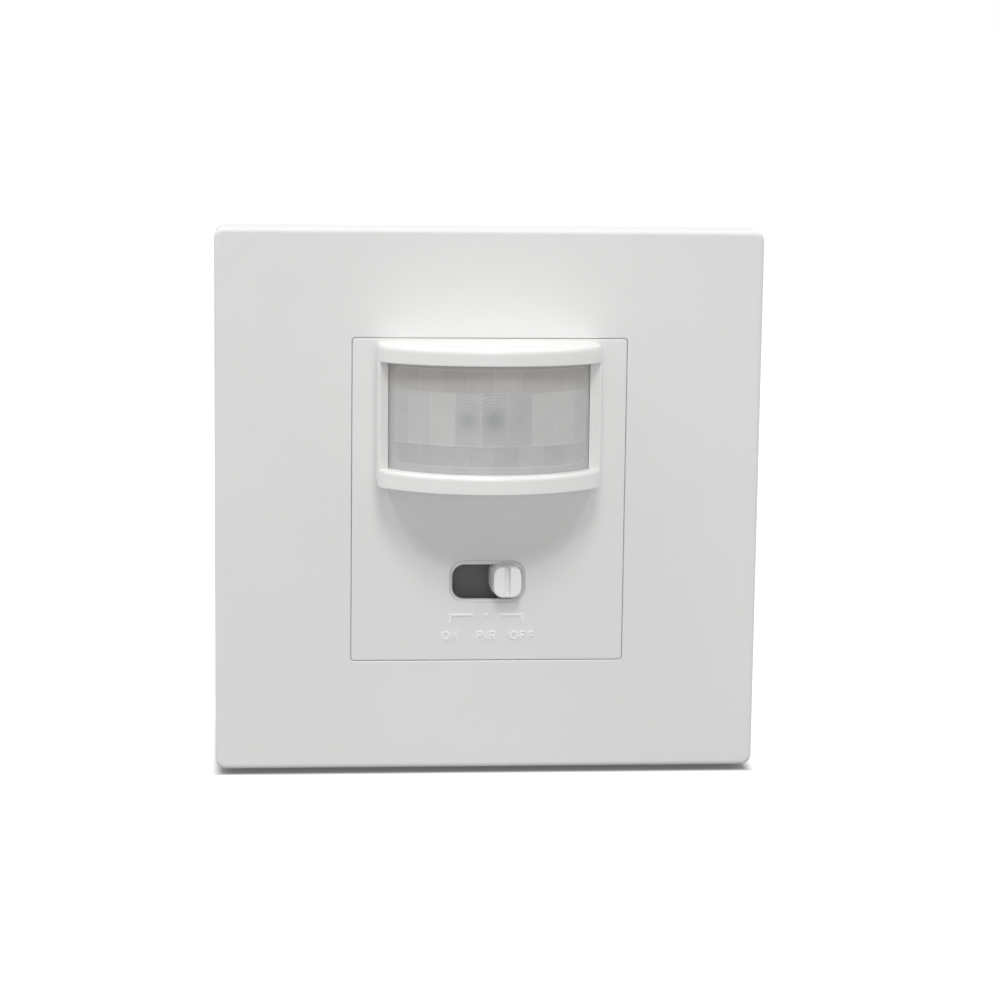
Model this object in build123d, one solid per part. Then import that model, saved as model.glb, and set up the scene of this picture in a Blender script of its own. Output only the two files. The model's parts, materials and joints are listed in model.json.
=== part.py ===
from build123d import *
import os
from math import cos, radians, sin, sqrt

# A wall-mounted infrared motion sensor with a three-position slide switch, in millimetres.
# X runs to the right, Z runs up and the room lies towards -Y.
# The origin lies on the wall, midway between the two fixing slots.

# Front cover, the insert in the middle of the surround
insert_width = 43.0
insert_height = 51.2
insert_z = 0.3
insert_gap = 0.2
insert_corner = 0.7
cover_wall = 2.0
cover_rim_wall = 1.5
cover_clip_inset = 9.0
cover_clip_width = 6.0
cover_clip_thickness = 1.2
clip_hook = 0.5
clip_hook_length = 0.9
clip_clearance = 0.15

# Surround plate
face_depth = 9.0
plate_wall = 2.0
plate_rim_wall = 1.8
plate_corner = 1.65
plate_edge = 0.75
plate_clearance = 1.2
collar_wall = 1.2
collar_back = 4.0
leg_height = 6.0
leg_thickness = 1.6
leg_inset = 6.0
leg_z = 22.0
leg_clearance = 0.2
leg_end_gap = 0.2
seat_post_radius = 1.5
seat_post_inset = 4.0

# Chin, the swelling below the lens
dome_margin = 1.3
chin_top_set_back = 1.47
chin_slope = 0.93
chin_wall = 1.8
chin_fillet = 2.0

# Lens and its bezel, curved about one upright axis
lens_thickness = 0.6
lens_side_gap = 0.264
lens_clearance = 0.1
bezel_height = 22.3
bezel_top_margin = 0.15
bezel_side_inset = 3.8
bezel_side_height = 4.71
bezel_proud = 0.97
bezel_front_wall = 1.83
bezel_side_wall = 1.3
bezel_roof = 1.3
bezel_edge = 1.0
bezel_window_edge = 0.6
bezel_leg_height = 4.0
bezel_leg_bottom_inset = 4.55
bezel_leg_top_inset = 6.75
bezel_leg_thickness = 1.0
bezel_leg_set_back = 0.3
window_sill = 2.5
window_head = 2.65
ledge_height = 0.85
ledge_width = 1.0

# Slide switch and its knob
slot_drop = 16.2
slot_height = 5.74
slot_corner = 1.9
land_margin = 0.5
land_top_margin = 0.6
land_bottom_margin = 0.92
land_corner = 2.4
land_depth = 0.35
knob_width = 4.45
knob_height = 4.97
knob_corner = 1.5
knob_rise = 0.25
knob_reach = 2.5
knob_edge = 0.35
groove_width = 0.84
groove_depth = 1.2
groove_bottom_land = 0.5
mark_distance = 5.38
mark_inner = 2.15
mark_outer = 5.9
mark_drop = 1.3
mark_stroke = 0.25
mark_height = 0.15
switch_step = 3.0
slot_end_gap = 0.5
shutter_overlap = 0.8
shutter_end_overlap = 0.5
shutter_thickness = 0.6
shutter_gap = 0.15
shutter_front = 5.0
slot_collar_wall = 1.0
shutter_corner = 1.0
shutter_fit = 0.02
knob_base_depth = 4.3
stem_width = 2.6
stem_height = 3.0
stem_fit = 0.05
stem_reach = 8.0
switch_frame_wall = 0.4
switch_frame_height = 7.0
switch_frame_front = 3.0
switch_base_thickness = 1.4
slider_width = 6.4
slider_height = 5.0
slider_thickness = 2.2
switch_clearance = 0.15
contact_thickness = 0.3
contact_width = 4.0

# Mounting plate and wall fixing
fixing_centres = 60.3
fixing_slot_width = 4.1
fixing_slot_length = 6.4
strap_margin = 0.8
strap_thickness = 1.5
strap_corner = 4.0
strap_cutout_gap = 0.3
plate_screw_x = 20.0
plate_screw_shank = 1.25
plate_screw_head = 2.35
plate_screw_length = 6.0
plate_boss_radius = 2.4
plate_boss_wall = 0.6
thread_clearance = 0.02

# Inner cover
lid_thickness = 2.0
lid_side_overhang = 2.0
lid_end_overhang = 5.7
lid_corner = 2.0
sensor_opening_width = 22.0
sensor_opening_height = 15.0

# Rear housing
housing_side_gap = 2.45
housing_top_margin = 3.6
housing_bottom_margin = 8.2
housing_depth = 27.0
housing_wall = 1.6
housing_corner = 2.0
corner_boss_radius = 2.4
corner_boss_inset = 2.3
housing_screw_shank = 1.1
housing_screw_head = 1.9
housing_screw_length = 10.0

# Circuit boards
board_thickness = 1.6
board_gap = 0.3
sensor_board_front = 2.2
power_board_rear = 22.0
board_screw_shank = 1.0
board_screw_head = 1.8
board_screw_head_height = 1.2
board_screw_length = 5.0
standoff_radius = 2.0
standoff_terminal_gap = 1.9
sensor_standoff_side_inset = 3.6
sensor_standoff_top_inset = 7.6
sensor_standoff_bottom_inset = 11.6
power_standoff_top_inset = 2.2
power_standoff_bottom_inset = 2.4

# Infrared detector
detector_rise = 9.55
can_radius = 4.1
can_flange_radius = 4.6
can_flange_thickness = 0.6
can_front = 2.0
can_wall = 0.3
can_window_width = 4.0
can_window_height = 3.2
window_overlap = 0.4
window_thickness = 0.4
pin_radius = 0.25
pin_tail = 1.0
pin_circle_radius = 2.54
pin_hole_radius = 0.45
carrier_width = 5.0
carrier_height = 3.4
carrier_thickness = 1.4
strip_width = 1.0
strip_height = 2.0
strip_thickness = 0.2
strip_offset = 1.0

# Daylight sensor and indicator lamp
daylight_x = -7.6
daylight_rise = 4.0
daylight_radius = 2.5
daylight_front = 0.8
daylight_thickness = 2.0
daylight_lead_offset = 1.27
led_x = 7.6
led_drop = 4.0
led_radius = 1.5
led_length = 3.6
led_flange = 0.3
led_flange_thickness = 0.8

# Trimmers
trimmer_x = 7.5
trimmer_edge_gap = 0.1
trimmer_base_side = 5.8
trimmer_base_front = 1.2
trimmer_dial_radius = 2.4
trimmer_dial_front = 3.3
trimmer_shaft_radius = 0.8
trimmer_shaft_length = 1.6
trimmer_slot_length = 3.36
trimmer_slot_width = 0.7
trimmer_slot_depth = 0.8
trimmer_arrow = 0.9
trimmer_hole_gap = 0.35
running_gap = 0.05

# Chips and small parts on the back of the sensor board
amplifier_size = (9.9, 3.9, 1.5)
amplifier_z = 0.5
amplifier_pitch = 1.27
amplifier_leads = 8
regulator_size = (4.5, 2.5, 1.5)
regulator_x = 12.0
regulator_z = 1.0
regulator_pitch = 1.5
regulator_leads = 3
chip_stand = 0.1
chip_lead_reach = 1.0
chip_lead_thickness = 0.2
capacitor_size = (1.25, 2.0, 0.9)
capacitor_z = 5.8
capacitor_count = 6
resistor_size = (1.25, 2.0, 0.5)
resistor_rows = (-4.5, -8.0)
resistors_in_row = 5
small_part_pitch = 3.2

# Board-to-board header
header_rise = 6.6
header_pitch = 2.54
header_pin_count = 6
header_pin_side = 0.64
header_body_height = 2.5
header_body_thickness = 2.5

# Power-board parts
case_edge = 0.5
relay_size = (15.5, 19.0, 13.6)
relay_x = -10.5
relay_screw_gap = 1.1
dropper_size = (18.0, 7.0, 12.5)
dropper_x = 10.0
dropper_screw_gap = 2.1
filter_radius = 4.0
filter_length = 11.5
filter_spread = 10.0
filter_x = 9.5
filter_top_gap = 3.5
bead_height = 2.0
bead_offset = 0.3
bead_radius = 0.6
diode_radius = 1.35
diode_length = 5.2
diode_x = 12.0
diode_top_gap = 4.0
diode_pitch = 4.0
diode_count = 4
lead_radius = 0.4
lead_pitch = 10.16
axial_height = 2.2
fuse_radius = 1.7
fuse_stand = 0.5
fuse_length = 9.0
fuse_x = -8.0
fuse_rise = 6.0
fuse_pitch = 15.24
varistor_radius = 4.5
varistor_thickness = 3.6
varistor_stand = 1.5
varistor_x = -8.0
varistor_rise = 11.0
varistor_lead_pitch = 5.0

# Terminals
terminal_pitch = 7.5
terminal_width = 7.2
terminal_inset = 4.0
terminal_height = 12.0
terminal_depth = 12.6
terminal_window_gap = 0.3
wire_hole_radius = 1.9
wire_hole_rise = 8.6
wire_hole_length = 5.0
clamp_width = 5.2
clamp_wall = 1.0
clamp_height = 6.0
clamp_length = 5.6
clamp_clearance = 0.15
clamp_tail = 1.2
terminal_screw_shank = 1.5
terminal_screw_head = 2.4
terminal_screw_head_height = 1.6
terminal_screw_well = 2.6
screw_slot_width = 0.7
screw_slot_depth = 0.7
screw_slot_share = 0.65

# How closely an edge has to lie to a stated place to be picked there
nearness = 0.01


# Heights, from the insert outwards

insert_bottom = insert_z - insert_height / 2
insert_top = insert_z + insert_height / 2
bezel_top = insert_top - bezel_top_margin
bezel_bottom = bezel_top - bezel_height
window_bottom = bezel_bottom + window_sill
window_top = bezel_top - window_head
cavity_bottom = bezel_bottom + bezel_roof
cavity_top = bezel_top - bezel_roof
bezel_leg_low = bezel_bottom + bezel_leg_bottom_inset
bezel_leg_high = bezel_top - bezel_leg_top_inset
slot_z = bezel_bottom - slot_drop
knob_z = slot_z + knob_rise
mark_z = slot_z - mark_distance
housing_top = insert_top + housing_top_margin
housing_bottom = insert_bottom - housing_bottom_margin
housing_z = (housing_top + housing_bottom) / 2
housing_height = housing_top - housing_bottom
lid_top = housing_top + lid_end_overhang
lid_bottom = housing_bottom - lid_end_overhang
plate_screw_top = (lid_top + housing_top) / 2
plate_screw_bottom = (lid_bottom + housing_bottom) / 2
board_top = housing_top - housing_wall - board_gap
board_bottom = housing_bottom + housing_wall + board_gap

# Widths and overall sizes

chin_radius = insert_width / 2 - dome_margin
bezel_radius = chin_radius + bezel_proud
lens_radius = bezel_radius - bezel_front_wall - lens_clearance
lens_inner_radius = lens_radius - lens_thickness
bezel_half_width = insert_width / 2 - bezel_side_inset
cavity_half_width = bezel_half_width - bezel_side_wall
lens_half_width = cavity_half_width - lens_side_gap
strap_side = 2 * (strap_margin - lid_bottom)
plate_side = strap_side + 2 * (plate_clearance + plate_rim_wall)
leg_x = strap_side / 2 - leg_inset
seat_post_offset = strap_side / 2 - seat_post_inset
housing_half_width = fixing_centres / 2 - fixing_slot_length / 2 - housing_side_gap
lid_half_width = housing_half_width + lid_side_overhang
cover_clip_x = housing_half_width - cover_clip_inset
board_half_width = housing_half_width - housing_wall - board_gap
board_corner_notch = corner_boss_inset + corner_boss_radius - housing_wall
slot_width = knob_width + 2 * switch_step + 2 * slot_end_gap
knob_x = switch_step

# Depths, from the room inwards

lens_axis_depth = face_depth + bezel_side_height - sqrt(bezel_radius**2 - bezel_half_width**2)
lens_front = -lens_axis_depth - lens_radius
knob_front = -face_depth - knob_reach
cover_back = -face_depth + cover_wall
surround_back = -face_depth + plate_wall
strap_front = -strap_thickness
lid_front = strap_front - lid_thickness
sensor_board_rear = sensor_board_front + board_thickness
power_board_front = power_board_rear - board_thickness
housing_back_inside = housing_depth - housing_wall
terminal_rear = power_board_rear + terminal_depth
wire_hole_depth = power_board_rear + wire_hole_rise
clamp_rear = wire_hole_depth + clamp_height / 2
clamp_front = wire_hole_depth - clamp_height / 2

# Places of the parts on the boards

detector_z = bezel_bottom + detector_rise
daylight_z = detector_z + daylight_rise
led_z = detector_z - led_drop
trimmer_z = board_bottom + trimmer_edge_gap + trimmer_base_side / 2
header_z = board_bottom + header_rise
sensor_standoff_x = board_half_width - sensor_standoff_side_inset
sensor_standoff_top = board_top - sensor_standoff_top_inset
sensor_standoff_bottom = board_bottom + sensor_standoff_bottom_inset
terminal_half_span = terminal_pitch + terminal_width / 2
power_standoff_x = terminal_half_span + standoff_terminal_gap + standoff_radius
power_standoff_top = board_top - power_standoff_top_inset
power_standoff_bottom = board_bottom + power_standoff_bottom_inset
relay_z = power_standoff_top - board_screw_head - relay_screw_gap - relay_size[1] / 2
dropper_z = power_standoff_top - board_screw_head - dropper_screw_gap - dropper_size[1] / 2
filter_z = dropper_z - dropper_size[1] / 2 - filter_top_gap - filter_radius
first_diode_z = filter_z - filter_radius - diode_top_gap
diode_z = [first_diode_z - i * diode_pitch for i in range(diode_count)]
fuse_z = header_z + fuse_rise
varistor_z = fuse_z + varistor_rise
terminal_bottom = housing_bottom + terminal_inset
terminal_top = terminal_bottom + terminal_height


def facing(depth):
    """The plane at one depth that looks into the room, with X to the right and Z up."""
    return Plane(origin=(0, depth, 0), x_dir=(1, 0, 0), z_dir=(0, -1, 0))


def prism(outline, front, back):
    """An outline drawn in X and Z, made solid between two depths."""
    return extrude(facing(back) * outline, amount=back - front)


def column(outline, bottom, top):
    """An outline drawn in X and Y, made solid between two heights."""
    return extrude(Plane.XY.offset(bottom) * outline, amount=top - bottom)


def rounded(width, height, corner, x=0.0, z=0.0):
    """A rectangle with round corners, by its centre."""
    return Pos(x, z) * RectangleRounded(width, height, corner)


def block(left, right, bottom, top, front, back):
    """A plain block by its six limits."""
    return Pos((left + right) / 2, (front + back) / 2, (bottom + top) / 2) * Box(
        right - left, back - front, top - bottom
    )


def rod(x, z, radius, front, back):
    """A round bar along Y."""
    return prism(Pos(x, z) * Circle(radius), front, back)


def edges_at(edges, axis, place):
    """Those edges whose centre lies at one place along an axis."""
    return edges.filter_by_position(axis, place - nearness, place + nearness)


def group(solids):
    """Several separate solids kept together."""
    return Compound(children=[piece for shape in solids for piece in shape.solids()])


def save(name, shape):
    """Writes one piece, or one group of like pieces."""
    export_step(shape, f"parts/{name}.step")


def bowed(radius, half_width, back):
    """A plan with a round front about the lens axis, straight sides and a flat back."""
    shoulder = -lens_axis_depth - sqrt(radius**2 - half_width**2)
    front = ThreePointArc(
        (-half_width, shoulder), (0, -lens_axis_depth - radius), (half_width, shoulder)
    )
    rest = Polyline(
        (half_width, shoulder), (half_width, back), (-half_width, back), (-half_width, shoulder)
    )
    return make_face(front.edges() + rest.edges())


def countersunk_screw(x, z, head_face, direction, head_radius, shank_radius, length):
    """A flat-headed screw along Y; direction is +1 where its tip points to +Y."""
    head_height = head_radius - shank_radius
    profile = Polyline(
        (0, 0),
        (head_radius, 0),
        (shank_radius, head_height),
        (shank_radius, length),
        (0, length),
        (0, 0),
    )
    body = revolve(make_face(profile), Axis.Y)
    slot = Box(2 * head_radius * screw_slot_share, head_height, screw_slot_width)
    body -= slot
    if direction < 0:
        body = body.rotate(Axis.Z, 180)
    return Pos(x, head_face, z) * body


def pan_screw(x, z, seat, direction, head_radius, head_height, shank_radius, length):
    """A screw with a raised round head that sits on a face; direction as above."""
    head_low, head_high = sorted((seat, seat - direction * head_height))
    shank_low, shank_high = sorted((seat, seat + direction * length))
    screw = rod(x, z, head_radius, head_low, head_high)
    screw += rod(x, z, shank_radius, shank_low, shank_high)
    face = seat - direction * head_height
    slot_length = 2 * head_radius * screw_slot_share
    cut = Pos(x, face, z) * Box(slot_length, screw_slot_depth, screw_slot_width)
    return screw - cut


def corners(x, bottom, top):
    """The four places at plus and minus x and at two heights."""
    return [(-x, bottom), (x, bottom), (-x, top), (x, top)]


def surround_plate():
    """The square outer plate: a shallow box with a collared opening, legs and seats."""
    outer = prism(rounded(plate_side, plate_side, plate_corner), -face_depth, 0)
    front_edges = outer.faces().sort_by(Axis.Y)[0].edges()
    outer = fillet(front_edges, plate_edge)
    inner_side = plate_side - 2 * plate_rim_wall
    shell = outer - prism(Rectangle(inner_side, inner_side), surround_back, 0)
    opening_width = insert_width + 2 * insert_gap
    opening_height = insert_height + 2 * insert_gap
    shell += prism(
        rounded(
            opening_width + 2 * collar_wall,
            opening_height + 2 * collar_wall,
            insert_corner + collar_wall,
            0,
            insert_z,
        ),
        surround_back,
        -collar_back,
    )
    shell -= prism(
        rounded(opening_width, opening_height, insert_corner + insert_gap, 0, insert_z),
        -face_depth,
        -collar_back,
    )
    for x, z in corners(leg_x, -leg_z, leg_z):
        shell += block(
            x - leg_thickness / 2,
            x + leg_thickness / 2,
            z - leg_height / 2,
            z + leg_height / 2,
            surround_back,
            -leg_end_gap,
        )
    for x, z in corners(seat_post_offset, -seat_post_offset, seat_post_offset):
        shell += rod(x, z, seat_post_radius, surround_back, strap_front)
    return shell


def mounting_plate():
    """The steel strap plate with its cut-out, fixing slots, leg windows and sunk screw holes."""
    plate = prism(rounded(strap_side, strap_side, strap_corner), strap_front, 0)
    plate -= prism(
        rounded(
            2 * (housing_half_width + strap_cutout_gap),
            housing_height + 2 * strap_cutout_gap,
            housing_corner + strap_cutout_gap,
            0,
            housing_z,
        ),
        strap_front,
        0,
    )
    for side in (-1, 1):
        slot = Pos(side * fixing_centres / 2, 0) * SlotOverall(fixing_slot_length, fixing_slot_width)
        plate -= prism(slot, strap_front, 0)
    for x, z in corners(leg_x, -leg_z, leg_z):
        window = Pos(x, z) * Rectangle(
            leg_thickness + 2 * leg_clearance, leg_height + 2 * leg_clearance
        )
        plate -= prism(window, strap_front, 0)
    for x, z in corners(plate_screw_x, plate_screw_bottom, plate_screw_top):
        plate -= countersunk_hole(x, z, 0, -1, plate_screw_head, plate_screw_shank, strap_thickness)
    return plate


def countersunk_hole(x, z, head_face, direction, head_radius, shank_radius, depth):
    """The space that a flat-headed screw needs in a plate."""
    head_height = head_radius - shank_radius
    profile = Polyline(
        (0, 0),
        (head_radius, 0),
        (shank_radius + thread_clearance, head_height - thread_clearance),
        (shank_radius + thread_clearance, depth),
        (0, depth),
        (0, 0),
    )
    hole = revolve(make_face(profile), Axis.Y)
    if direction < 0:
        hole = hole.rotate(Axis.Z, 180)
    return Pos(x, head_face, z) * hole


def plate_screws():
    """Four flat-headed screws from behind, through the strap plate into the inner cover."""
    return group(
        countersunk_screw(x, z, 0, -1, plate_screw_head, plate_screw_shank, plate_screw_length)
        for x, z in corners(plate_screw_x, plate_screw_bottom, plate_screw_top)
    )


def housing_boss_places():
    """Where the four corner bosses of the rear housing stand."""
    x = housing_half_width - corner_boss_inset
    return corners(x, housing_bottom + corner_boss_inset, housing_top - corner_boss_inset)


def housing_screws():
    """Four flat-headed screws from the front, through the inner cover into the housing."""
    return group(
        countersunk_screw(
            x, z, lid_front, 1, housing_screw_head, housing_screw_shank, housing_screw_length
        )
        for x, z in housing_boss_places()
    )


def sensor_board_places():
    """Where the sensor board is screwed to the inner cover."""
    return corners(sensor_standoff_x, sensor_standoff_bottom, sensor_standoff_top)


def power_board_places():
    """Where the power board is screwed to the rear housing."""
    return corners(power_standoff_x, power_standoff_bottom, power_standoff_top)


def cover_clip_spans():
    """Each clip of the front cover: its side, its inner face and its outer face in height."""
    inset = cover_rim_wall / 2 + cover_clip_thickness / 2
    return [
        (-1, insert_bottom + inset - cover_clip_thickness / 2),
        (1, insert_top - inset + cover_clip_thickness / 2),
    ]


def inner_cover():
    """The lid over the rear housing, with bosses, standoffs and openings."""
    width = 2 * lid_half_width
    height = lid_top - lid_bottom
    centre = (lid_top + lid_bottom) / 2
    lid = prism(rounded(width, height, lid_corner, 0, centre), lid_front, strap_front)
    boss_front = -plate_screw_length - plate_boss_wall
    for x, z in corners(plate_screw_x, plate_screw_bottom, plate_screw_top):
        lid += rod(x, z, plate_boss_radius, boss_front, lid_front)
    for x, z in sensor_board_places():
        lid += rod(x, z, standoff_radius, strap_front, sensor_board_front)
    for x, z in corners(plate_screw_x, plate_screw_bottom, plate_screw_top):
        radius = plate_screw_shank + thread_clearance
        lid -= rod(x, z, radius, -plate_screw_length - thread_clearance, strap_front)
    for x, z in sensor_board_places():
        tip = sensor_board_rear - board_screw_length - thread_clearance
        lid -= rod(x, z, board_screw_shank + thread_clearance, tip, sensor_board_front)
    for x, z in housing_boss_places():
        lid -= countersunk_hole(
            x, z, lid_front, 1, housing_screw_head, housing_screw_shank, lid_thickness
        )
    lid -= block(
        -sensor_opening_width / 2,
        sensor_opening_width / 2,
        detector_z - sensor_opening_height / 2,
        detector_z + sensor_opening_height / 2,
        lid_front,
        strap_front,
    )
    half_length = switch_frame_length() / 2 + switch_clearance
    half_height = switch_frame_height / 2 + switch_clearance
    lid -= block(
        -half_length, half_length, knob_z - half_height, knob_z + half_height, lid_front, strap_front
    )
    for x in (-trimmer_x, trimmer_x):
        lid -= rod(x, trimmer_z, trimmer_dial_radius + trimmer_hole_gap, lid_front, strap_front)
    for x in (-cover_clip_x, cover_clip_x):
        for side, edge in cover_clip_spans():
            inner = edge - side * (cover_clip_thickness + clip_clearance)
            outer = edge + side * (clip_hook + clip_clearance)
            half = cover_clip_width / 2 + clip_clearance
            low, high = sorted((inner, outer))
            lid -= block(x - half, x + half, low, high, lid_front, strap_front)
    return lid


def rear_housing():
    """The box in the wall, open at the front, with corner bosses and a terminal window."""
    width = 2 * housing_half_width
    box = prism(
        rounded(width, housing_height, housing_corner, 0, housing_z), strap_front, housing_depth
    )
    inner = rounded(
        width - 2 * housing_wall,
        housing_height - 2 * housing_wall,
        housing_corner / 2,
        0,
        housing_z,
    )
    hollow = prism(inner, strap_front, housing_back_inside)
    for x, z in housing_boss_places():
        hollow -= rod(x, z, corner_boss_radius, strap_front, housing_back_inside)
    for x, z in power_board_places():
        hollow -= rod(x, z, standoff_radius, power_board_rear, housing_back_inside)
    box -= hollow
    screw_tip = lid_front + housing_screw_length + thread_clearance
    for x, z in housing_boss_places():
        box -= rod(x, z, housing_screw_shank + thread_clearance, strap_front, screw_tip)
    for x, z in power_board_places():
        tip = power_board_front + board_screw_length + thread_clearance
        box -= rod(x, z, board_screw_shank + thread_clearance, power_board_rear, tip)
    half = terminal_half_span + terminal_window_gap
    box -= block(
        -half,
        half,
        terminal_bottom - terminal_window_gap,
        terminal_top + terminal_window_gap,
        housing_back_inside,
        housing_depth,
    )
    return box


def chin_solid(radius, centre_depth_at_top, bottom, top):
    """A round column that leans back into the face as it goes down."""
    lean = chin_slope * (top - bottom)
    centre = centre_depth_at_top + lean
    disc = Plane.XY.offset(bottom) * Pos(0, centre) * Circle(radius)
    height = top - bottom
    run = sqrt(lean**2 + height**2)
    return extrude(disc, amount=run, dir=(0, -lean, height))


def chin_outside():
    """The chin's visible form, from the bezel down to the face."""
    centre = -lens_axis_depth - bezel_radius + chin_top_set_back + chin_radius
    toe = bezel_bottom - (chin_radius - face_depth - centre) / chin_slope
    bottom = toe - cover_wall / chin_slope
    column_shape = chin_solid(chin_radius, centre, bottom, bezel_bottom)
    limits = block(
        -bezel_half_width,
        bezel_half_width,
        bottom,
        bezel_bottom,
        -lens_axis_depth - bezel_radius,
        cover_back,
    )
    return column_shape & limits


def chin_seam(cover):
    """The edges where the chin's front and sides meet the face."""
    seam = edges_at(cover.edges(), Axis.Y, -face_depth)
    seam = seam.filter_by_position(Axis.X, -bezel_half_width, bezel_half_width)
    seam = seam.filter_by_position(Axis.Z, insert_bottom + nearness, bezel_bottom - nearness)
    return seam


def chin_inside():
    """The hollow behind the chin's wall."""
    radius = chin_radius - chin_wall
    top = bezel_bottom - chin_wall
    centre = -lens_axis_depth - bezel_radius + chin_top_set_back + chin_radius
    centre += chin_slope * chin_wall + chin_wall * (sqrt(1 + chin_slope**2) - 1)
    toe = top - (radius - face_depth + cover_wall - centre) / chin_slope
    hollow = chin_solid(radius, centre, toe - cover_wall, top)
    half_width = bezel_half_width - chin_wall
    limits = block(
        -half_width,
        half_width,
        toe - cover_wall,
        top,
        -lens_axis_depth - bezel_radius,
        cover_back,
    )
    return hollow & limits


def lens_frame():
    """The raised frame on the cover that backs the lens along its four edges."""
    radius = lens_inner_radius - lens_clearance / 2
    half_width = lens_half_width - lens_clearance
    plan = bowed(radius, half_width, cover_back)
    bottom = cavity_bottom + lens_clearance
    top = cavity_top - lens_clearance
    frame = column(plan, bottom, top)
    inner = half_width - ledge_width
    hole = block(
        -inner,
        inner,
        bottom + ledge_height,
        top - ledge_height,
        lens_front,
        cover_back,
    )
    return frame, hole


def front_cover():
    """The insert: face, chin, lens frame, switch slot, rim walls and clips."""
    plate = rounded(insert_width, insert_height, insert_corner, 0, insert_z)
    cover = prism(plate, -face_depth, cover_back)
    cover += chin_outside()
    cover = fillet(chin_seam(cover), chin_fillet)
    rim = prism(plate, cover_back, lid_front)
    rim -= block(
        -insert_width / 2 + cover_rim_wall,
        insert_width / 2 - cover_rim_wall,
        insert_bottom + cover_rim_wall,
        insert_top - cover_rim_wall,
        cover_back,
        lid_front,
    )
    cover += rim
    cover -= chin_inside()
    frame, hole = lens_frame()
    cover += frame
    cover -= hole
    cover += slot_collar()
    cover -= slot_cut()
    for mark in legend_marks():
        cover += mark
    for x in (-cover_clip_x, cover_clip_x):
        for side, edge in cover_clip_spans():
            cover += cover_clip(x, side, edge)
    for side in (-1, 1):
        for z in (bezel_leg_low, bezel_leg_high):
            cover -= bezel_leg_window(side, z)
    return cover


def slot_collar():
    """The wall round the slot, which reaches back to the shutter."""
    outline = rounded(
        slot_width + 2 * slot_collar_wall,
        slot_height + 2 * slot_collar_wall,
        slot_corner + slot_collar_wall,
        0,
        slot_z,
    )
    return prism(outline, -face_depth + land_depth, -shutter_front - shutter_gap)


def slot_cut():
    """The switch slot, with the shallow flat land round it."""
    land_low = slot_z - slot_height / 2 - land_bottom_margin
    land_high = slot_z + slot_height / 2 + land_top_margin
    land = rounded(
        slot_width + 2 * land_margin,
        land_high - land_low,
        land_corner,
        0,
        (land_low + land_high) / 2,
    )
    cut = prism(land, -lens_axis_depth - bezel_radius, -face_depth + land_depth)
    slot = rounded(slot_width, slot_height, slot_corner, 0, slot_z)
    return cut + prism(slot, -face_depth, lid_front)


def legend_marks():
    """The raised bracket under the slot, with a dot for the middle position."""
    front = -face_depth - mark_height
    half = mark_stroke / 2
    marks = [block(-half, half, mark_z - half, mark_z + half, front, -face_depth)]
    for side in (-1, 1):
        low, high = sorted((side * mark_inner, side * mark_outer))
        marks.append(block(low, high, mark_z - half, mark_z + half, front, -face_depth))
        low, high = sorted((side * (mark_outer - mark_stroke), side * mark_outer))
        marks.append(block(low, high, mark_z - mark_drop, mark_z + half, front, -face_depth))
    return marks


def cover_clip(x, side, edge):
    """A straight clip through the inner cover, with a hook behind it."""
    inner = edge - side * cover_clip_thickness
    low, high = sorted((inner, edge))
    hook_front = strap_front + clip_clearance
    hook_back = hook_front + clip_hook_length
    half = cover_clip_width / 2
    clip = block(x - half, x + half, low, high, cover_back, hook_back)
    low, high = sorted((inner, edge + side * clip_hook))
    clip += block(x - half, x + half, low, high, hook_front, hook_back)
    return clip


def bezel_leg_span(side):
    """The inner and outer faces of a bezel leg in X."""
    outer = side * (bezel_half_width - bezel_leg_set_back)
    inner = outer - side * bezel_leg_thickness
    return sorted((inner, outer))


def bezel_leg_window(side, z):
    """The hole in the cover's face for one bezel leg and its hook."""
    low, high = bezel_leg_span(side)
    half = bezel_leg_height / 2 + clip_clearance
    return block(
        low - clip_clearance,
        high + clip_clearance,
        z - half,
        z + half,
        -face_depth,
        cover_back,
    )


def lens_bezel():
    """The glossy hood: a bowed box with a window, standing on the cover by four legs."""
    hood = column(bowed(bezel_radius, bezel_half_width, -face_depth), bezel_bottom, bezel_top)
    hood = fillet(bezel_round_edges(hood), bezel_edge)
    cavity = column(
        bowed(lens_radius + lens_clearance, cavity_half_width, -face_depth),
        cavity_bottom,
        cavity_top,
    )
    hood -= cavity
    hood -= block(
        -cavity_half_width,
        cavity_half_width,
        window_bottom,
        window_top,
        -lens_axis_depth - bezel_radius,
        -face_depth,
    )
    sill = edges_at(hood.edges().filter_by(GeomType.CIRCLE), Axis.Z, window_bottom)
    hood = fillet(sill.sort_by(Axis.Y)[0], bezel_window_edge)
    hook_front = cover_back + clip_clearance
    hook_back = hook_front + clip_hook_length
    for side in (-1, 1):
        low, high = bezel_leg_span(side)
        for z in (bezel_leg_low, bezel_leg_high):
            half = bezel_leg_height / 2
            hood += block(low, high, z - half, z + half, -face_depth, hook_back)
            tip = (high if side > 0 else low) + side * clip_hook
            hook_low, hook_high = sorted(((low + high) / 2, tip))
            hood += block(hook_low, hook_high, z - half, z + half, hook_front, hook_back)
    return hood


def bezel_round_edges(hood):
    """All of the hood's outer edges but those at its back and under its front."""
    return [
        edge
        for edge in hood.edges()
        if edge.bounding_box().min.Y < -face_depth - bezel_edge
        and (edge.geom_type != GeomType.CIRCLE or edge.center().Z > bezel_bottom + bezel_edge)
    ]


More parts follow.
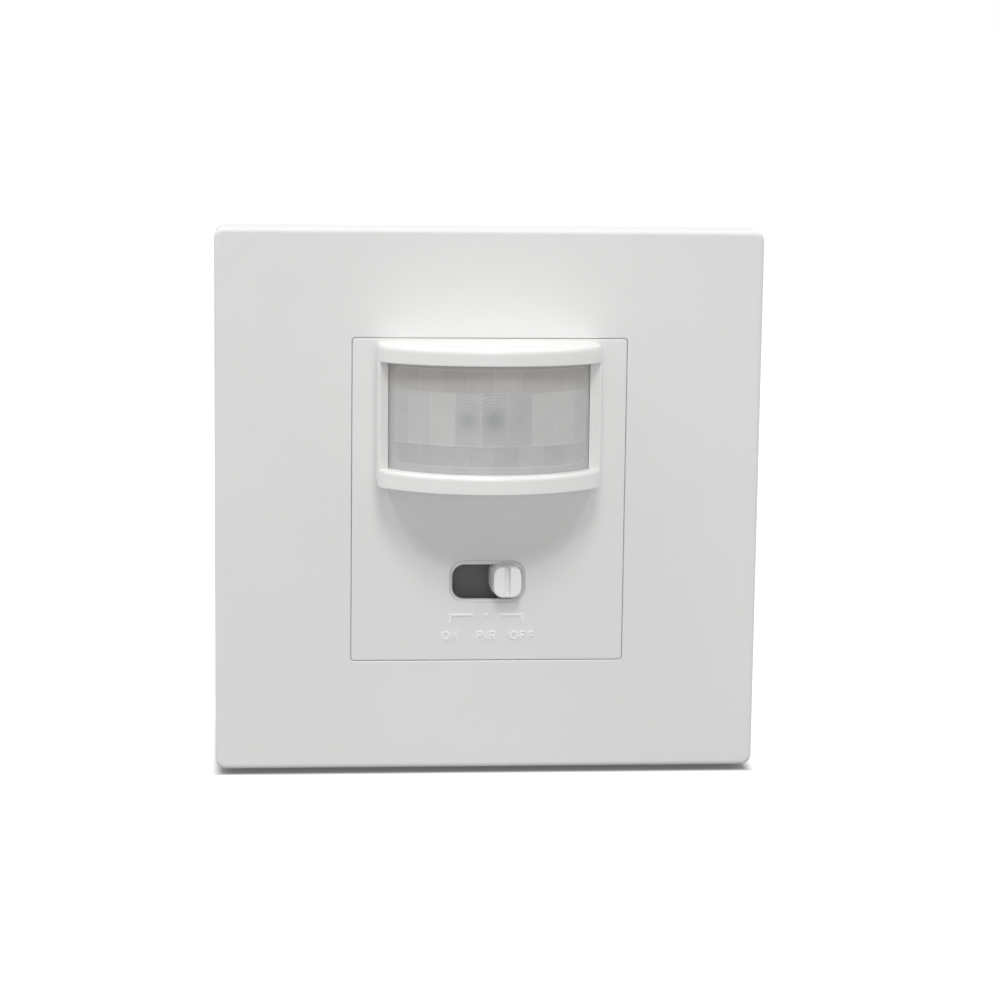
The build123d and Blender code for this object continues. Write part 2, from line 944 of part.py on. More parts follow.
def fresnel_lens():
    """The curved sheet behind the bezel's window."""
    outer = bowed(lens_radius, lens_half_width, -lens_axis_depth)
    inner = Pos(0, -lens_axis_depth) * Circle(lens_inner_radius)
    back = -lens_axis_depth - sqrt(lens_radius**2 - lens_half_width**2)
    keep = Rectangle(4 * lens_radius, 4 * lens_radius, align=(Align.CENTER, Align.MAX))
    sheet = (outer - inner) & (Pos(0, back + lens_thickness) * keep)
    return column(sheet, cavity_bottom + lens_clearance, cavity_top - lens_clearance)


def mode_knob():
    """The sliding knob, a rounded block with an upright groove and a socket for the stem."""
    outline = rounded(knob_width, knob_height, knob_corner, knob_x, knob_z)
    knob = prism(outline, knob_front, -knob_base_depth)
    knob = fillet(knob.faces().sort_by(Axis.Y)[0].edges(), knob_edge)
    groove_bottom = knob_z - knob_height / 2 + groove_bottom_land
    knob -= block(
        knob_x - groove_width / 2,
        knob_x + groove_width / 2,
        groove_bottom,
        knob_z + knob_height / 2,
        knob_front,
        knob_front + groove_depth,
    )
    half_width = stem_width / 2 + stem_fit
    half_height = stem_height / 2 + stem_fit
    knob -= block(
        knob_x - half_width,
        knob_x + half_width,
        knob_z - half_height,
        knob_z + half_height,
        -stem_reach - stem_fit,
        -knob_base_depth,
    )
    return knob


def slot_shutter():
    """The dark plate that moves with the knob and closes the slot behind the cover."""
    half_length = slot_width / 2 + switch_step + shutter_end_overlap
    half_height = slot_height / 2 + knob_rise + shutter_overlap
    back = shutter_thickness - shutter_front
    plate = rounded(2 * half_length, 2 * half_height, shutter_corner, knob_x, knob_z)
    hole = rounded(
        knob_width + 2 * shutter_fit,
        knob_height + 2 * shutter_fit,
        knob_corner + shutter_fit,
        knob_x,
        knob_z,
    )
    return prism(plate, -shutter_front, back) - prism(hole, -shutter_front, back)


def switch_frame_length():
    """The frame is as long as the slider, its travel and the walls need."""
    return slider_width + 2 * switch_step + 2 * switch_clearance + 2 * switch_frame_wall


def slide_switch_frame():
    """The folded metal frame of the slide switch, with a slot for the stem."""
    half_length = switch_frame_length() / 2
    half_height = switch_frame_height / 2
    front = -switch_frame_front
    back = sensor_board_front - switch_base_thickness
    frame = block(-half_length, half_length, knob_z - half_height, knob_z + half_height, front, back)
    frame -= block(
        -half_length + switch_frame_wall,
        half_length - switch_frame_wall,
        knob_z - half_height + switch_frame_wall,
        knob_z + half_height - switch_frame_wall,
        front + switch_frame_wall,
        back,
    )
    slot_half = stem_width / 2 + switch_step + switch_clearance
    stem_half = stem_height / 2 + switch_clearance
    frame -= block(
        -slot_half, slot_half, knob_z - stem_half, knob_z + stem_half, front, front + switch_frame_wall
    )
    return frame


def slide_switch_base():
    """The insulating base of the slide switch, with its solder pins through the board."""
    half_length = switch_frame_length() / 2
    half_height = switch_frame_height / 2
    front = sensor_board_front - switch_base_thickness
    base = block(
        -half_length,
        half_length,
        knob_z - half_height,
        knob_z + half_height,
        front,
        sensor_board_front,
    )
    for x in switch_pin_places():
        base += rod(x, knob_z, pin_radius, sensor_board_front, sensor_board_rear + pin_tail)
    return base


def switch_pin_places():
    """One solder pin for each position and one common pin."""
    return [-1.5 * switch_step, -0.5 * switch_step, 0.5 * switch_step, 1.5 * switch_step]


def slide_switch_actuator():
    """The slider inside the frame, with the stem that carries the knob."""
    front = -switch_frame_front + switch_frame_wall + running_gap
    slider = block(
        knob_x - slider_width / 2,
        knob_x + slider_width / 2,
        knob_z - slider_height / 2,
        knob_z + slider_height / 2,
        front,
        front + slider_thickness,
    )
    slider += block(
        knob_x - stem_width / 2,
        knob_x + stem_width / 2,
        knob_z - stem_height / 2,
        knob_z + stem_height / 2,
        -stem_reach,
        front,
    )
    return slider


def slide_switch_contact():
    """The sprung strip under the slider that bridges the fixed contacts."""
    front = -switch_frame_front + switch_frame_wall + running_gap + slider_thickness
    back = sensor_board_front - switch_base_thickness - running_gap
    half = slider_width / 2 - switch_clearance
    strip = block(
        knob_x - half,
        knob_x + half,
        knob_z - contact_width / 2,
        knob_z + contact_width / 2,
        front,
        front + contact_thickness,
    )
    for side in (-1, 1):
        x = knob_x + side * (half - contact_thickness)
        strip += block(
            x - contact_thickness,
            x + contact_thickness,
            knob_z - contact_width / 2,
            knob_z + contact_width / 2,
            front + contact_thickness,
            back,
        )
    return strip


def board_outline():
    """The outline of both boards: the housing's inside with its corners notched for the bosses."""
    height = board_top - board_bottom
    outline = Pos(0, housing_z) * Rectangle(2 * board_half_width, height)
    for x, z in corners(board_half_width, board_bottom, board_top):
        outline -= Pos(x, z) * Rectangle(2 * board_corner_notch, 2 * board_corner_notch)
    return outline


def detector_pin_places():
    """The three pins of the infrared detector, on a circle."""
    return [
        (pin_circle_radius * cos(radians(a)), detector_z + pin_circle_radius * sin(radians(a)))
        for a in (45, 135, 270)
    ]


def header_pin_places():
    """The header's pins, in one row."""
    first = -(header_pin_count - 1) / 2
    return [(first + i) * header_pitch for i in range(header_pin_count)]


def sensor_board():
    """The board behind the lens, with holes for its screws and through-hole pins."""
    board = prism(board_outline(), sensor_board_front, sensor_board_rear)
    for x, z in sensor_board_places():
        radius = board_screw_shank + thread_clearance
        board -= rod(x, z, radius, sensor_board_front, sensor_board_rear)
    holes = detector_pin_places() + [(x, knob_z) for x in switch_pin_places()]
    holes += [(x, daylight_z) for x in daylight_lead_places()]
    for x, z in holes:
        board -= rod(x, z, pin_hole_radius, sensor_board_front, sensor_board_rear)
    return board


def power_board():
    """The rear board, which carries the mains parts and the terminals."""
    board = prism(board_outline(), power_board_front, power_board_rear)
    for x, z in power_board_places():
        radius = board_screw_shank + thread_clearance
        board -= rod(x, z, radius, power_board_front, power_board_rear)
    return board


def board_screws():
    """Eight like screws: four hold each board."""
    size = (board_screw_head, board_screw_head_height, board_screw_shank, board_screw_length)
    screws = [pan_screw(x, z, sensor_board_rear, -1, *size) for x, z in sensor_board_places()]
    screws += [pan_screw(x, z, power_board_front, 1, *size) for x, z in power_board_places()]
    return group(screws)


def pir_sensor_header():
    """The detector's base disc with its three pins through the board."""
    back = sensor_board_front
    disc = rod(0, detector_z, can_flange_radius, back - can_flange_thickness, back)
    for x, z in detector_pin_places():
        disc += rod(x, z, pin_radius, back, sensor_board_rear + pin_tail)
    return disc


def pir_sensor_can():
    """The detector's drawn metal can, with a rectangular window in its front."""
    back = sensor_board_front - can_flange_thickness
    can = rod(0, detector_z, can_radius, -can_front, back)
    can -= rod(0, detector_z, can_radius - can_wall, -can_front + can_wall, back)
    can -= prism(
        Pos(0, detector_z) * Rectangle(can_window_width, can_window_height),
        -can_front,
        -can_front + can_wall,
    )
    return can


def pir_sensor_window():
    """The dark filter window behind the can's opening."""
    width = can_window_width + 2 * window_overlap
    height = can_window_height + 2 * window_overlap
    front = -can_front + can_wall
    outline = Pos(0, detector_z) * Rectangle(width, height)
    return prism(outline, front, front + window_thickness)


def pir_sensor_element():
    """The ceramic carrier with its two sensing strips, on the detector's base."""
    back = sensor_board_front - can_flange_thickness
    front = back - carrier_thickness
    outline = Pos(0, detector_z) * Rectangle(carrier_width, carrier_height)
    carrier = prism(outline, front, back)
    for side in (-1, 1):
        strip = Pos(side * strip_offset, detector_z) * Rectangle(strip_width, strip_height)
        carrier += prism(strip, front - strip_thickness, front)
    return carrier


def daylight_lead_places():
    """The two leads of the daylight sensor."""
    return [daylight_x - daylight_lead_offset, daylight_x + daylight_lead_offset]


def daylight_sensor():
    """A flat round light-dependent resistor on two leads."""
    back = daylight_thickness - daylight_front
    disc = rod(daylight_x, daylight_z, daylight_radius, -daylight_front, back)
    for x in daylight_lead_places():
        disc += rod(x, daylight_z, pin_radius, back, sensor_board_rear + pin_tail)
    return disc


def status_led():
    """A small round indicator lamp with a domed front."""
    back = sensor_board_front
    neck = back - led_length + led_radius
    lamp = rod(led_x, led_z, led_radius, neck, back)
    dome = Pos(led_x, neck, led_z) * Sphere(led_radius)
    lamp += dome
    lamp += rod(led_x, led_z, led_radius + led_flange, back - led_flange_thickness, back)
    return lamp


def chip_package(x, z, size, leads, pitch):
    """A flat chip on the back of the sensor board, with leads along its top and bottom."""
    width, height, thickness = size
    face = sensor_board_rear
    chip = block(
        x - width / 2,
        x + width / 2,
        z - height / 2,
        z + height / 2,
        face + chip_stand,
        face + thickness,
    )
    for i in range(leads):
        lead_x = x + (i - (leads - 1) / 2) * pitch
        half = pitch / 6
        reach = height / 2 + chip_lead_reach
        chip += block(
            lead_x - half, lead_x + half, z - reach, z + reach, face, face + chip_lead_thickness
        )
    return chip


def detector_chip():
    """The amplifier and timer chip, on the back of the sensor board."""
    return chip_package(0, amplifier_z, amplifier_size, amplifier_leads, amplifier_pitch)


def voltage_regulator():
    """The small regulator beside the chip."""
    return chip_package(
        regulator_x, regulator_z, regulator_size, regulator_leads, regulator_pitch
    )


def chip_row(count, z, size):
    """A row of like surface-mounted parts on the back of the sensor board."""
    width, length, thickness = size
    row = []
    for i in range(count):
        centre = (i - (count - 1) / 2) * small_part_pitch
        row.append(
            block(
                centre - width / 2,
                centre + width / 2,
                z - length / 2,
                z + length / 2,
                sensor_board_rear,
                sensor_board_rear + thickness,
            )
        )
    return row


def chip_capacitors():
    """Six small ceramic capacitors."""
    return group(chip_row(capacitor_count, capacitor_z, capacitor_size))


def chip_resistors():
    """Ten small resistors in two rows."""
    rows = [chip_row(resistors_in_row, z, resistor_size) for z in resistor_rows]
    return group(part for row in rows for part in row)


def trimmer_base(x):
    """The square body of a trimmer, with a hole for its dial's shaft."""
    half = trimmer_base_side / 2
    front = -trimmer_base_front
    body = block(x - half, x + half, trimmer_z - half, trimmer_z + half, front, sensor_board_front)
    hole = rod(
        x,
        trimmer_z,
        trimmer_shaft_radius + running_gap,
        front,
        front + trimmer_shaft_length + running_gap,
    )
    return body - hole


def trimmer_dial(x):
    """The dial of a trimmer: a disc with a screwdriver slot, an arrow notch and a shaft."""
    back = -trimmer_base_front - running_gap
    dial = rod(x, trimmer_z, trimmer_dial_radius, -trimmer_dial_front, back)
    dial += rod(x, trimmer_z, trimmer_shaft_radius, back, -trimmer_base_front + trimmer_shaft_length)
    dial -= block(
        x - trimmer_slot_width / 2,
        x + trimmer_slot_width / 2,
        trimmer_z - trimmer_slot_length / 2,
        trimmer_z + trimmer_slot_length / 2,
        -trimmer_dial_front,
        -trimmer_dial_front + trimmer_slot_depth,
    )
    dial -= block(
        x - trimmer_arrow / 2,
        x + trimmer_arrow / 2,
        trimmer_z + trimmer_slot_length / 2,
        trimmer_z + trimmer_dial_radius,
        -trimmer_dial_front,
        -trimmer_dial_front + trimmer_slot_depth,
    )
    return dial


def header_body():
    """The insulating strip of the board-to-board header, on the power board."""
    half_length = header_pin_count * header_pitch / 2
    strip = block(
        -half_length,
        half_length,
        header_z - header_body_height / 2,
        header_z + header_body_height / 2,
        power_board_front - header_body_thickness,
        power_board_front,
    )
    half = header_pin_side / 2
    for x in header_pin_places():
        strip -= block(
            x - half,
            x + half,
            header_z - half,
            header_z + half,
            power_board_front - header_body_thickness,
            power_board_front,
        )
    return strip


def header_pins():
    """Six square pins between the two boards."""
    half = header_pin_side / 2
    return group(
        block(
            x - half, x + half, header_z - half, header_z + half, sensor_board_rear, power_board_front
        )
        for x in header_pin_places()
    )


def standing_block(size, x, z):
    """A boxy part that stands on the front face of the power board."""
    width, height, depth = size
    body = block(
        x - width / 2,
        x + width / 2,
        z - height / 2,
        z + height / 2,
        power_board_front - depth,
        power_board_front,
    )
    return fillet(body.faces().sort_by(Axis.Y)[0].edges(), case_edge)


def relay():
    """The relay's sealed case."""
    return standing_block(relay_size, relay_x, relay_z)


def dropper_capacitor():
    """The boxed film capacitor that drops the mains voltage."""
    return standing_block(dropper_size, dropper_x, dropper_z)


def filter_capacitors():
    """Two round electrolytic capacitors, each with a bead near its base."""
    cans = []
    back = power_board_front
    for x in (filter_x - filter_spread / 2, filter_x + filter_spread / 2):
        can = rod(x, filter_z, filter_radius, back - filter_length, back)
        can = fillet(can.faces().sort_by(Axis.Y)[0].edges(), case_edge)
        ring = Rot(90, 0, 0) * Torus(filter_radius + bead_offset, bead_radius)
        cans.append(can - Pos(x, back - bead_height, filter_z) * ring)
    return group(cans)


def axial_part(x, z, radius, length, pitch, rise):
    """A round body lying along X on two bent leads, its middle at one height over the board."""
    depth = power_board_front - rise
    body = Pos(x, depth, z) * Rot(0, 90, 0) * Cylinder(radius, length)
    lead = Pos(x, depth, z) * Rot(0, 90, 0) * Cylinder(lead_radius, pitch)
    part = body + lead
    for side in (-1, 1):
        foot = x + side * pitch / 2
        part += rod(foot, z, lead_radius, depth - lead_radius, power_board_front)
    return part


def rectifier_diodes():
    """Four diodes of the bridge, side by side."""
    size = (diode_radius, diode_length, lead_pitch, axial_height)
    return group(axial_part(diode_x, z, *size) for z in diode_z)


def fuse_resistor():
    """The fusible resistor in the mains line."""
    rise = fuse_radius + fuse_stand
    return axial_part(fuse_x, fuse_z, fuse_radius, fuse_length, fuse_pitch, rise)


def varistor():
    """The disc that clips mains surges, on edge on two leads."""
    depth = power_board_front - varistor_radius - varistor_stand
    disc = Pos(varistor_x, depth, varistor_z) * Cylinder(varistor_radius, varistor_thickness)
    disc = fillet(disc.edges(), varistor_thickness / 4)
    for side in (-1, 1):
        x = varistor_x + side * varistor_lead_pitch / 2
        disc += rod(x, varistor_z, lead_radius, depth, power_board_front)
    return disc


def terminal_pole(x):
    """One pole: a plastic body with a wire hole below and a screw well behind."""
    half = terminal_width / 2
    pole = block(x - half, x + half, terminal_bottom, terminal_top, power_board_rear, terminal_rear)
    chamber_bottom = terminal_bottom + wire_hole_length
    chamber_half = clamp_width / 2 + clamp_clearance
    chamber_top = chamber_bottom + clamp_length + 2 * clamp_clearance
    pole -= block(
        x - chamber_half,
        x + chamber_half,
        chamber_bottom,
        chamber_top,
        clamp_front - clamp_clearance,
        clamp_rear + clamp_clearance,
    )
    hole = Pos(x, wire_hole_depth) * Circle(wire_hole_radius)
    pole -= column(hole, terminal_bottom, chamber_bottom)
    pole -= rod(x, clamp_z(), terminal_screw_well, clamp_rear, terminal_rear)
    tail_half = clamp_tail / 2 + clamp_clearance
    pole -= block(
        x - tail_half,
        x + tail_half,
        clamp_z() - tail_half,
        clamp_z() + tail_half,
        power_board_rear,
        clamp_front,
    )
    return pole


def clamp_z():
    """The height of the clamps' and screws' centres."""
    return terminal_bottom + wire_hole_length + clamp_clearance + clamp_length / 2


def terminal_clamps():
    """Three brass cages that grip the wires, each with a tail down to the board."""
    cages = []
    for x in terminal_places():
        half = clamp_width / 2
        low = clamp_z() - clamp_length / 2
        high = clamp_z() + clamp_length / 2
        cage = block(x - half, x + half, low, high, clamp_front, clamp_rear)
        cage -= block(
            x - half + clamp_wall,
            x + half - clamp_wall,
            low,
            high,
            clamp_front + clamp_wall,
            clamp_rear - clamp_wall,
        )
        radius = terminal_screw_shank + thread_clearance
        cage -= rod(x, clamp_z(), radius, clamp_rear - clamp_wall, clamp_rear)
        tail = clamp_tail / 2
        cage += block(
            x - tail, x + tail, clamp_z() - tail, clamp_z() + tail, power_board_rear, clamp_front
        )
        cages.append(cage)
    return group(cages)


def terminal_places():
    """The three poles, in one row."""
    return [-terminal_pitch, 0.0, terminal_pitch]


def terminal_screws():
    """Three screws from behind that press on the wires."""
    seat = clamp_rear + clamp_clearance
    return group(
        pan_screw(
            x,
            clamp_z(),
            seat,
            -1,
            terminal_screw_head,
            terminal_screw_head_height,
            terminal_screw_shank,
            clamp_wall + 2 * clamp_clearance,
        )
        for x in terminal_places()
    )


def main():
    """Builds every piece and writes each to its own file."""
    os.makedirs("parts", exist_ok=True)
    save("surround_plate", surround_plate())
    save("mounting_plate", mounting_plate())
    save("plate_screws", plate_screws())
    save("inner_cover", inner_cover())
    save("housing_screws", housing_screws())
    save("rear_housing", rear_housing())
    save("front_cover", front_cover())
    save("lens_bezel", lens_bezel())
    save("fresnel_lens", fresnel_lens())
    save("mode_knob", mode_knob())
    save("slot_shutter", slot_shutter())
    save("slide_switch_frame", slide_switch_frame())
    save("slide_switch_base", slide_switch_base())
    save("slide_switch_actuator", slide_switch_actuator())
    save("slide_switch_contact", slide_switch_contact())
    save("sensor_board", sensor_board())
    save("power_board", power_board())
    save("board_screws", board_screws())
    save("pir_sensor_header", pir_sensor_header())
    save("pir_sensor_can", pir_sensor_can())
    save("pir_sensor_window", pir_sensor_window())
    save("pir_sensor_element", pir_sensor_element())
    save("daylight_sensor", daylight_sensor())
    save("status_led", status_led())
    save("detector_chip", detector_chip())
    save("voltage_regulator", voltage_regulator())
    save("chip_capacitors", chip_capacitors())
    save("chip_resistors", chip_resistors())
    save("time_trimmer_base", trimmer_base(-trimmer_x))
    save("time_trimmer_dial", trimmer_dial(-trimmer_x))
    save("lux_trimmer_base", trimmer_base(trimmer_x))
    save("lux_trimmer_dial", trimmer_dial(trimmer_x))
    save("header_body", header_body())
    save("header_pins", header_pins())
    save("relay", relay())
    save("dropper_capacitor", dropper_capacitor())
    save("filter_capacitors", filter_capacitors())
    save("rectifier_diodes", rectifier_diodes())
    save("fuse_resistor", fuse_resistor())
    save("varistor", varistor())
    names = ("terminal_live", "terminal_neutral", "terminal_load")
    for name, x in zip(names, terminal_places()):
        save(name, terminal_pole(x))
    save("terminal_clamps", terminal_clamps())
    save("terminal_screws", terminal_screws())


main()
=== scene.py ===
import json
import random
from math import cos, exp, hypot, pi, radians, sin, sqrt

import bmesh
import bpy
from mathutils import Matrix, Vector
from mathutils.geometry import delaunay_2d_cdt


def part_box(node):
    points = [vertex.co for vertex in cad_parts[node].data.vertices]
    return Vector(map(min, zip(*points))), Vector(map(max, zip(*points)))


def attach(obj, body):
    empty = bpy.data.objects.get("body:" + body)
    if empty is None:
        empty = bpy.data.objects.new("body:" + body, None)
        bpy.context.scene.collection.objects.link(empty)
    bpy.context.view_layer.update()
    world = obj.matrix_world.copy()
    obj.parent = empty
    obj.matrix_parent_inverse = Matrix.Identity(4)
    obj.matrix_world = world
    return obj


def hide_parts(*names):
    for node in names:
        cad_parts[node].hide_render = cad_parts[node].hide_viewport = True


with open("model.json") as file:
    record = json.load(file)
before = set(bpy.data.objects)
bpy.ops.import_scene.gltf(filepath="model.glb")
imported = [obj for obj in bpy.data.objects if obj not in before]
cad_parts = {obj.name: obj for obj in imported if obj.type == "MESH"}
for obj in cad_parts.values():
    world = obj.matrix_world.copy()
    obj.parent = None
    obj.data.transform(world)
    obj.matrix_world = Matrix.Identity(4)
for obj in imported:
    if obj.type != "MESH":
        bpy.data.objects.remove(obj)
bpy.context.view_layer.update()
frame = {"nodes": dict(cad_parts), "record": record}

# Lengths below are in millimetres; a mesh is turned into metres when it is made.
# X runs to the right, Z runs up and the room lies towards -Y.
mm = 0.001
# Edges that turn by more than these degrees show as sharp
sharp_angle = 34.0

# Camera, as solved from the plate's corners
camera_yaw = 4.918
camera_pitch = 9.138
camera_roll = 0.726
camera_distance = 454.41
camera_lens = 103.67
camera_target = (1.811, -9.0, 0.336)

# Surround plate
plate_half = 43.0
face_y = -9.0
plate_corner = 1.65
plate_edge = 0.75
plate_rim = 1.8
wall_back_y = -7.0
collar_back_y = -4.0
collar_wall = 1.2
small_edge = 0.2
insert_gap = 0.06
leg_places = [(-34.0, -22.0), (34.0, -22.0), (-34.0, 22.0), (34.0, 22.0)]
leg_half = (0.8, 3.0)
leg_tip_y = -0.2
post_places = [(-36.0, -36.0), (36.0, -36.0), (-36.0, 36.0), (36.0, 36.0)]
post_radius = 1.5
post_tip_y = -1.5

# Front cover
cover_half = 21.57
cover_bottom = -25.45
cover_top = 25.9
cover_corner = 0.45
cover_edge = 0.2
cover_back_y = -3.5
cover_rim = 1.5
rim_corner = 0.3
clip_x = 15.5
clip_half_width = 3.0
clip_tip_y = -0.45
clip_hook = 0.5
clip_hook_y = -1.35
clip_spans = ((-24.55, -23.35), (23.95, 25.15))
lens_hole_half = 15.04
lens_hole_bottom = 5.7
lens_hole_top = 23.5
lens_frame_half = 16.036
lens_frame_bore = 15.036

# Dome: the bezel and the lens share one upright axis, and the chin under them has its own
axis_x = -0.28
axis_y = -2.1
chin_x = 0.1
chin_radius = 16.6
chin_axis_y = -5.2
chin_slope = 0.93
chin_bow = 0.24
chin_toe = -10.31
chin_side = 16.6
chin_side_slope = 5.0
chin_blend_top = 0.5
chin_blend_toe = 1.9
chin_wall = 1.8
chin_rear_shift = 2.33
chin_rear_side = 15.9
chin_rear_slope = 6.0
chin_mesh_step = 0.3

# Bezel
bezel_radius = 21.17
bezel_half = 17.5
bezel_half_front = 17.55
bezel_bottom = 3.25
bezel_top = 25.75
bezel_corner = 0.8
bezel_round_top = 0.9
bezel_round_side = 1.1
bezel_round_bottom = 0.22
bar_sag_top = 0.3
bar_sag_bottom = 0.1
window_left = -15.85
window_right = 15.55
window_bottom = 6.15
window_top = 23.0
window_corner = 0.05
window_round_sill = 0.75
window_round_top = 0.25
post_inner = 15.7
post_inner_left_y = -13.15
post_inner_right_y = -13.5
post_outer = 17.2
post_outer_y = -14.0
post_blend = 0.4
cavity_half = 16.4
cavity_bottom = 4.75
cavity_top = 24.45
bezel_leg_x = 16.85
bezel_leg_half = (0.5, 2.0)
bezel_leg_tip_y = -5.95
bezel_leg_hook_y = -6.85
bezel_leg_hole_half = 0.6
bezel_leg_hole_below = 2.35
bezel_leg_hole_above = 2.15
bezel_leg_heights = (8.0, 19.0)

# Lens
lens_radius = 19.24
lens_thickness = 0.6
lens_half_angle = 58.0
lens_bottom = 4.85
lens_top = 24.35
lens_row_low = 10.5
lens_row_high = 18.65
lens_border_low = 7.2
lens_border_high = 22.2
lens_border_angle = 50.0
lens_border_corner = 1.2
lens_column = 12.0
lens_centre_heights = (10.2, 14.6, 16.5)
ring_pitch = 0.5
ring_depth = 0.05
# By a middle segment's angle: how deep its rings are, how strongly light and shade are painted on them, and
# its dull spot
ring_strengths = {0.0: 1.0, -12.0: 0.8, 12.0: 0.45}
ring_painted_light = {0.0: 0.3, -12.0: 0.25, 12.0: 0.12}
spot_shades = {0.0: 0.34, -12.0: 0.27, 12.0: 0.1}
spot_radius = 1.7
seam_width = 0.13
seam_depth = 0.035

# Slot and knob
slot_z = -12.95
slot_half = (5.56, 2.8)
slot_corner = 1.9
slot_collar_wall = 1.0
slot_collar_back_y = -5.15
slot_wall_y = -7.3
slot_undercut = 0.5
land_half_width = 6.0
land_top = -9.28
land_bottom = -16.22
land_corner = 2.4
land_depth = 0.6
slot_lip = 0.28
land_slope = 0.4
knob_centre = (3.0, -12.5)
knob_half = (2.225, 2.44)
knob_flare = (0.3, 0.12, 0.02)
knob_flare_y = -8.5
knob_corner = 1.5
knob_front_y = -11.5
knob_back_y = -4.3
knob_edge = 0.35
groove_half = 0.38
groove_depth = 1.3
groove_bottom = -14.485
socket_half = (1.35, 1.55)
socket_floor_y = -8.05

# Legend
mark_x = -0.13
mark_z = -18.13
mark_inner = 2.15
mark_outer = 5.915
mark_drop = 1.3
mark_dot = 0.24
letter_top = -20.7
letter_height = 1.5
# Word, left end, gap between letters and width of each letter
position_names = [
    ("ON", -7.24, 0.18, (1.3, 1.08)),
    ("PIR", -1.75, 0.26, (1.15, 0.34, 1.2)),
    ("OFF", 3.56, 0.2, (1.41, 1.08, 1.08)),
]
stroke_half = 0.17
stroke_height = 0.16
rear_letter_top = -13.6
rear_letter_height = 2.4
rear_letter_width = 1.8
rear_stroke_half = 0.22
label_frame = (-14.0, 14.0, 2.0, 18.0, 1.5)


# Meshes


class Solid:
    """Points in millimetres, and faces, gathered before they become a mesh."""

    def __init__(self):
        self.points = []
        self.faces = []

    def add(self, points):
        """Adds points and gives their numbers."""
        first = len(self.points)
        self.points.extend(points)
        return list(range(first, len(self.points)))

    def band(self, one, other):
        """Joins two closed rings of equally many points."""
        count = len(one)
        for i in range(count):
            j = (i + 1) % count
            self.faces.append((one[i], one[j], other[j], other[i]))

    def strip(self, one, other):
        """Joins two open rows of equally many points."""
        for i in range(len(one) - 1):
            self.faces.append((one[i], one[i + 1], other[i + 1], other[i]))

    def join(self, rings):
        """Joins rings that are already added, one after another."""
        for one, other in zip(rings, rings[1:]):
            self.band(one, other)

    def tube(self, rings, closed=False):
        """Adds and joins rings of points, and the last to the first if closed."""
        numbers = [self.add(ring) for ring in rings]
        self.join(numbers)
        if closed:
            self.band(numbers[-1], numbers[0])
        return numbers

    def bar(self, rings):
        """A closed bar: rings of points with a face over each end."""
        numbers = self.tube(rings)
        self.faces += [tuple(numbers[0]), tuple(numbers[-1])]


def add_object(name, data):
    """Puts an object with this data into the scene."""
    thing = bpy.data.objects.new(name, data)
    bpy.context.scene.collection.objects.link(thing)
    return thing


def make_piece(name, solid, material, body, slot, *stands_for, tones=None):
    """Turns a Solid into a shaded object that rides on a body."""
    mesh = bpy.data.meshes.new(name)
    mesh.from_pydata([(x * mm, y * mm, z * mm) for x, y, z in solid.points], [], solid.faces)
    shape = bmesh.new()
    shape.from_mesh(mesh)
    if tones is not None:
        layer = shape.verts.layers.float.new("tone")
        for corner, tone in zip(shape.verts, tones):
            corner[layer] = tone
    loose = [corner for corner in shape.verts if not corner.link_faces]
    bmesh.ops.delete(shape, geom=loose, context="VERTS")
    bmesh.ops.remove_doubles(shape, verts=shape.verts, dist=1e-6)
    bmesh.ops.recalc_face_normals(shape, faces=shape.faces)
    for face in shape.faces:
        face.smooth = True
    for edge in shape.edges:
        edge.smooth = edge.is_manifold and edge.calc_face_angle(0) < radians(sharp_angle)
    shape.to_mesh(mesh)
    shape.free()
    thing = add_object(name, mesh)
    mesh.materials.append(material)
    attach(thing, body)
    if stands_for:
        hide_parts(*stands_for)
    return thing


def outline(left, right, bottom, top, corner, across=24, up=24, turn=6):
    """A rounded rectangle as (x, z, outward x, outward z), from its right side anticlockwise."""
    centres = [
        (right - corner, top - corner, 0.0),
        (left + corner, top - corner, 0.5 * pi),
        (left + corner, bottom + corner, pi),
        (right - corner, bottom + corner, 1.5 * pi),
    ]
    points = []
    for number, (x, z, start) in enumerate(centres):
        for i in range(turn + 1):
            angle = start + 0.5 * pi * i / turn
            points.append((x + corner * cos(angle), z + corner * sin(angle), cos(angle), sin(angle)))
        next_x, next_z, _ = centres[(number + 1) % 4]
        end = start + 0.5 * pi
        nx, nz = cos(end), sin(end)
        low = (x + corner * nx, z + corner * nz)
        high = (next_x + corner * nx, next_z + corner * nz)
        steps = across if number % 2 == 0 else up
        for i in range(1, steps):
            share = i / steps
            side = low[0] + (high[0] - low[0]) * share
            height = low[1] + (high[1] - low[1]) * share
            points.append((side, height, nx, nz))
    return points


def flat_ring(shape, depth, inset=0.0):
    """An outline moved inwards by an inset, all at one depth."""
    return [(x - inset * nx, depth, z - inset * nz) for x, z, nx, nz in shape]


def rounding(steps=6):
    """Pairs of (inset, drop) shares along a quarter round, from the front face outwards."""
    angles = [0.5 * pi * i / steps for i in range(steps + 1)]
    return [(1 - sin(a), 1 - cos(a)) for a in angles]


def distance(rectangle, x, z):
    """How far a point lies outside a rounded rectangle; negative inside."""
    left, right, bottom, top, corner = rectangle
    across = abs(x - (left + right) / 2) - (right - left) / 2 + corner
    up = abs(z - (bottom + top) / 2) - (top - bottom) / 2 + corner
    return hypot(max(across, 0.0), max(up, 0.0)) + min(max(across, up), 0.0) - corner


def smooth_step(low, high, value):
    """Rises smoothly from 0 at low to 1 at high."""
    share = min(max((value - low) / (high - low), 0.0), 1.0)
    return share * share * (3 - 2 * share)


def grown(rectangle, amount):
    """A rounded rectangle moved outwards all round."""
    left, right, bottom, top, corner = rectangle
    return (left - amount, right + amount, bottom - amount, top + amount, corner + amount)


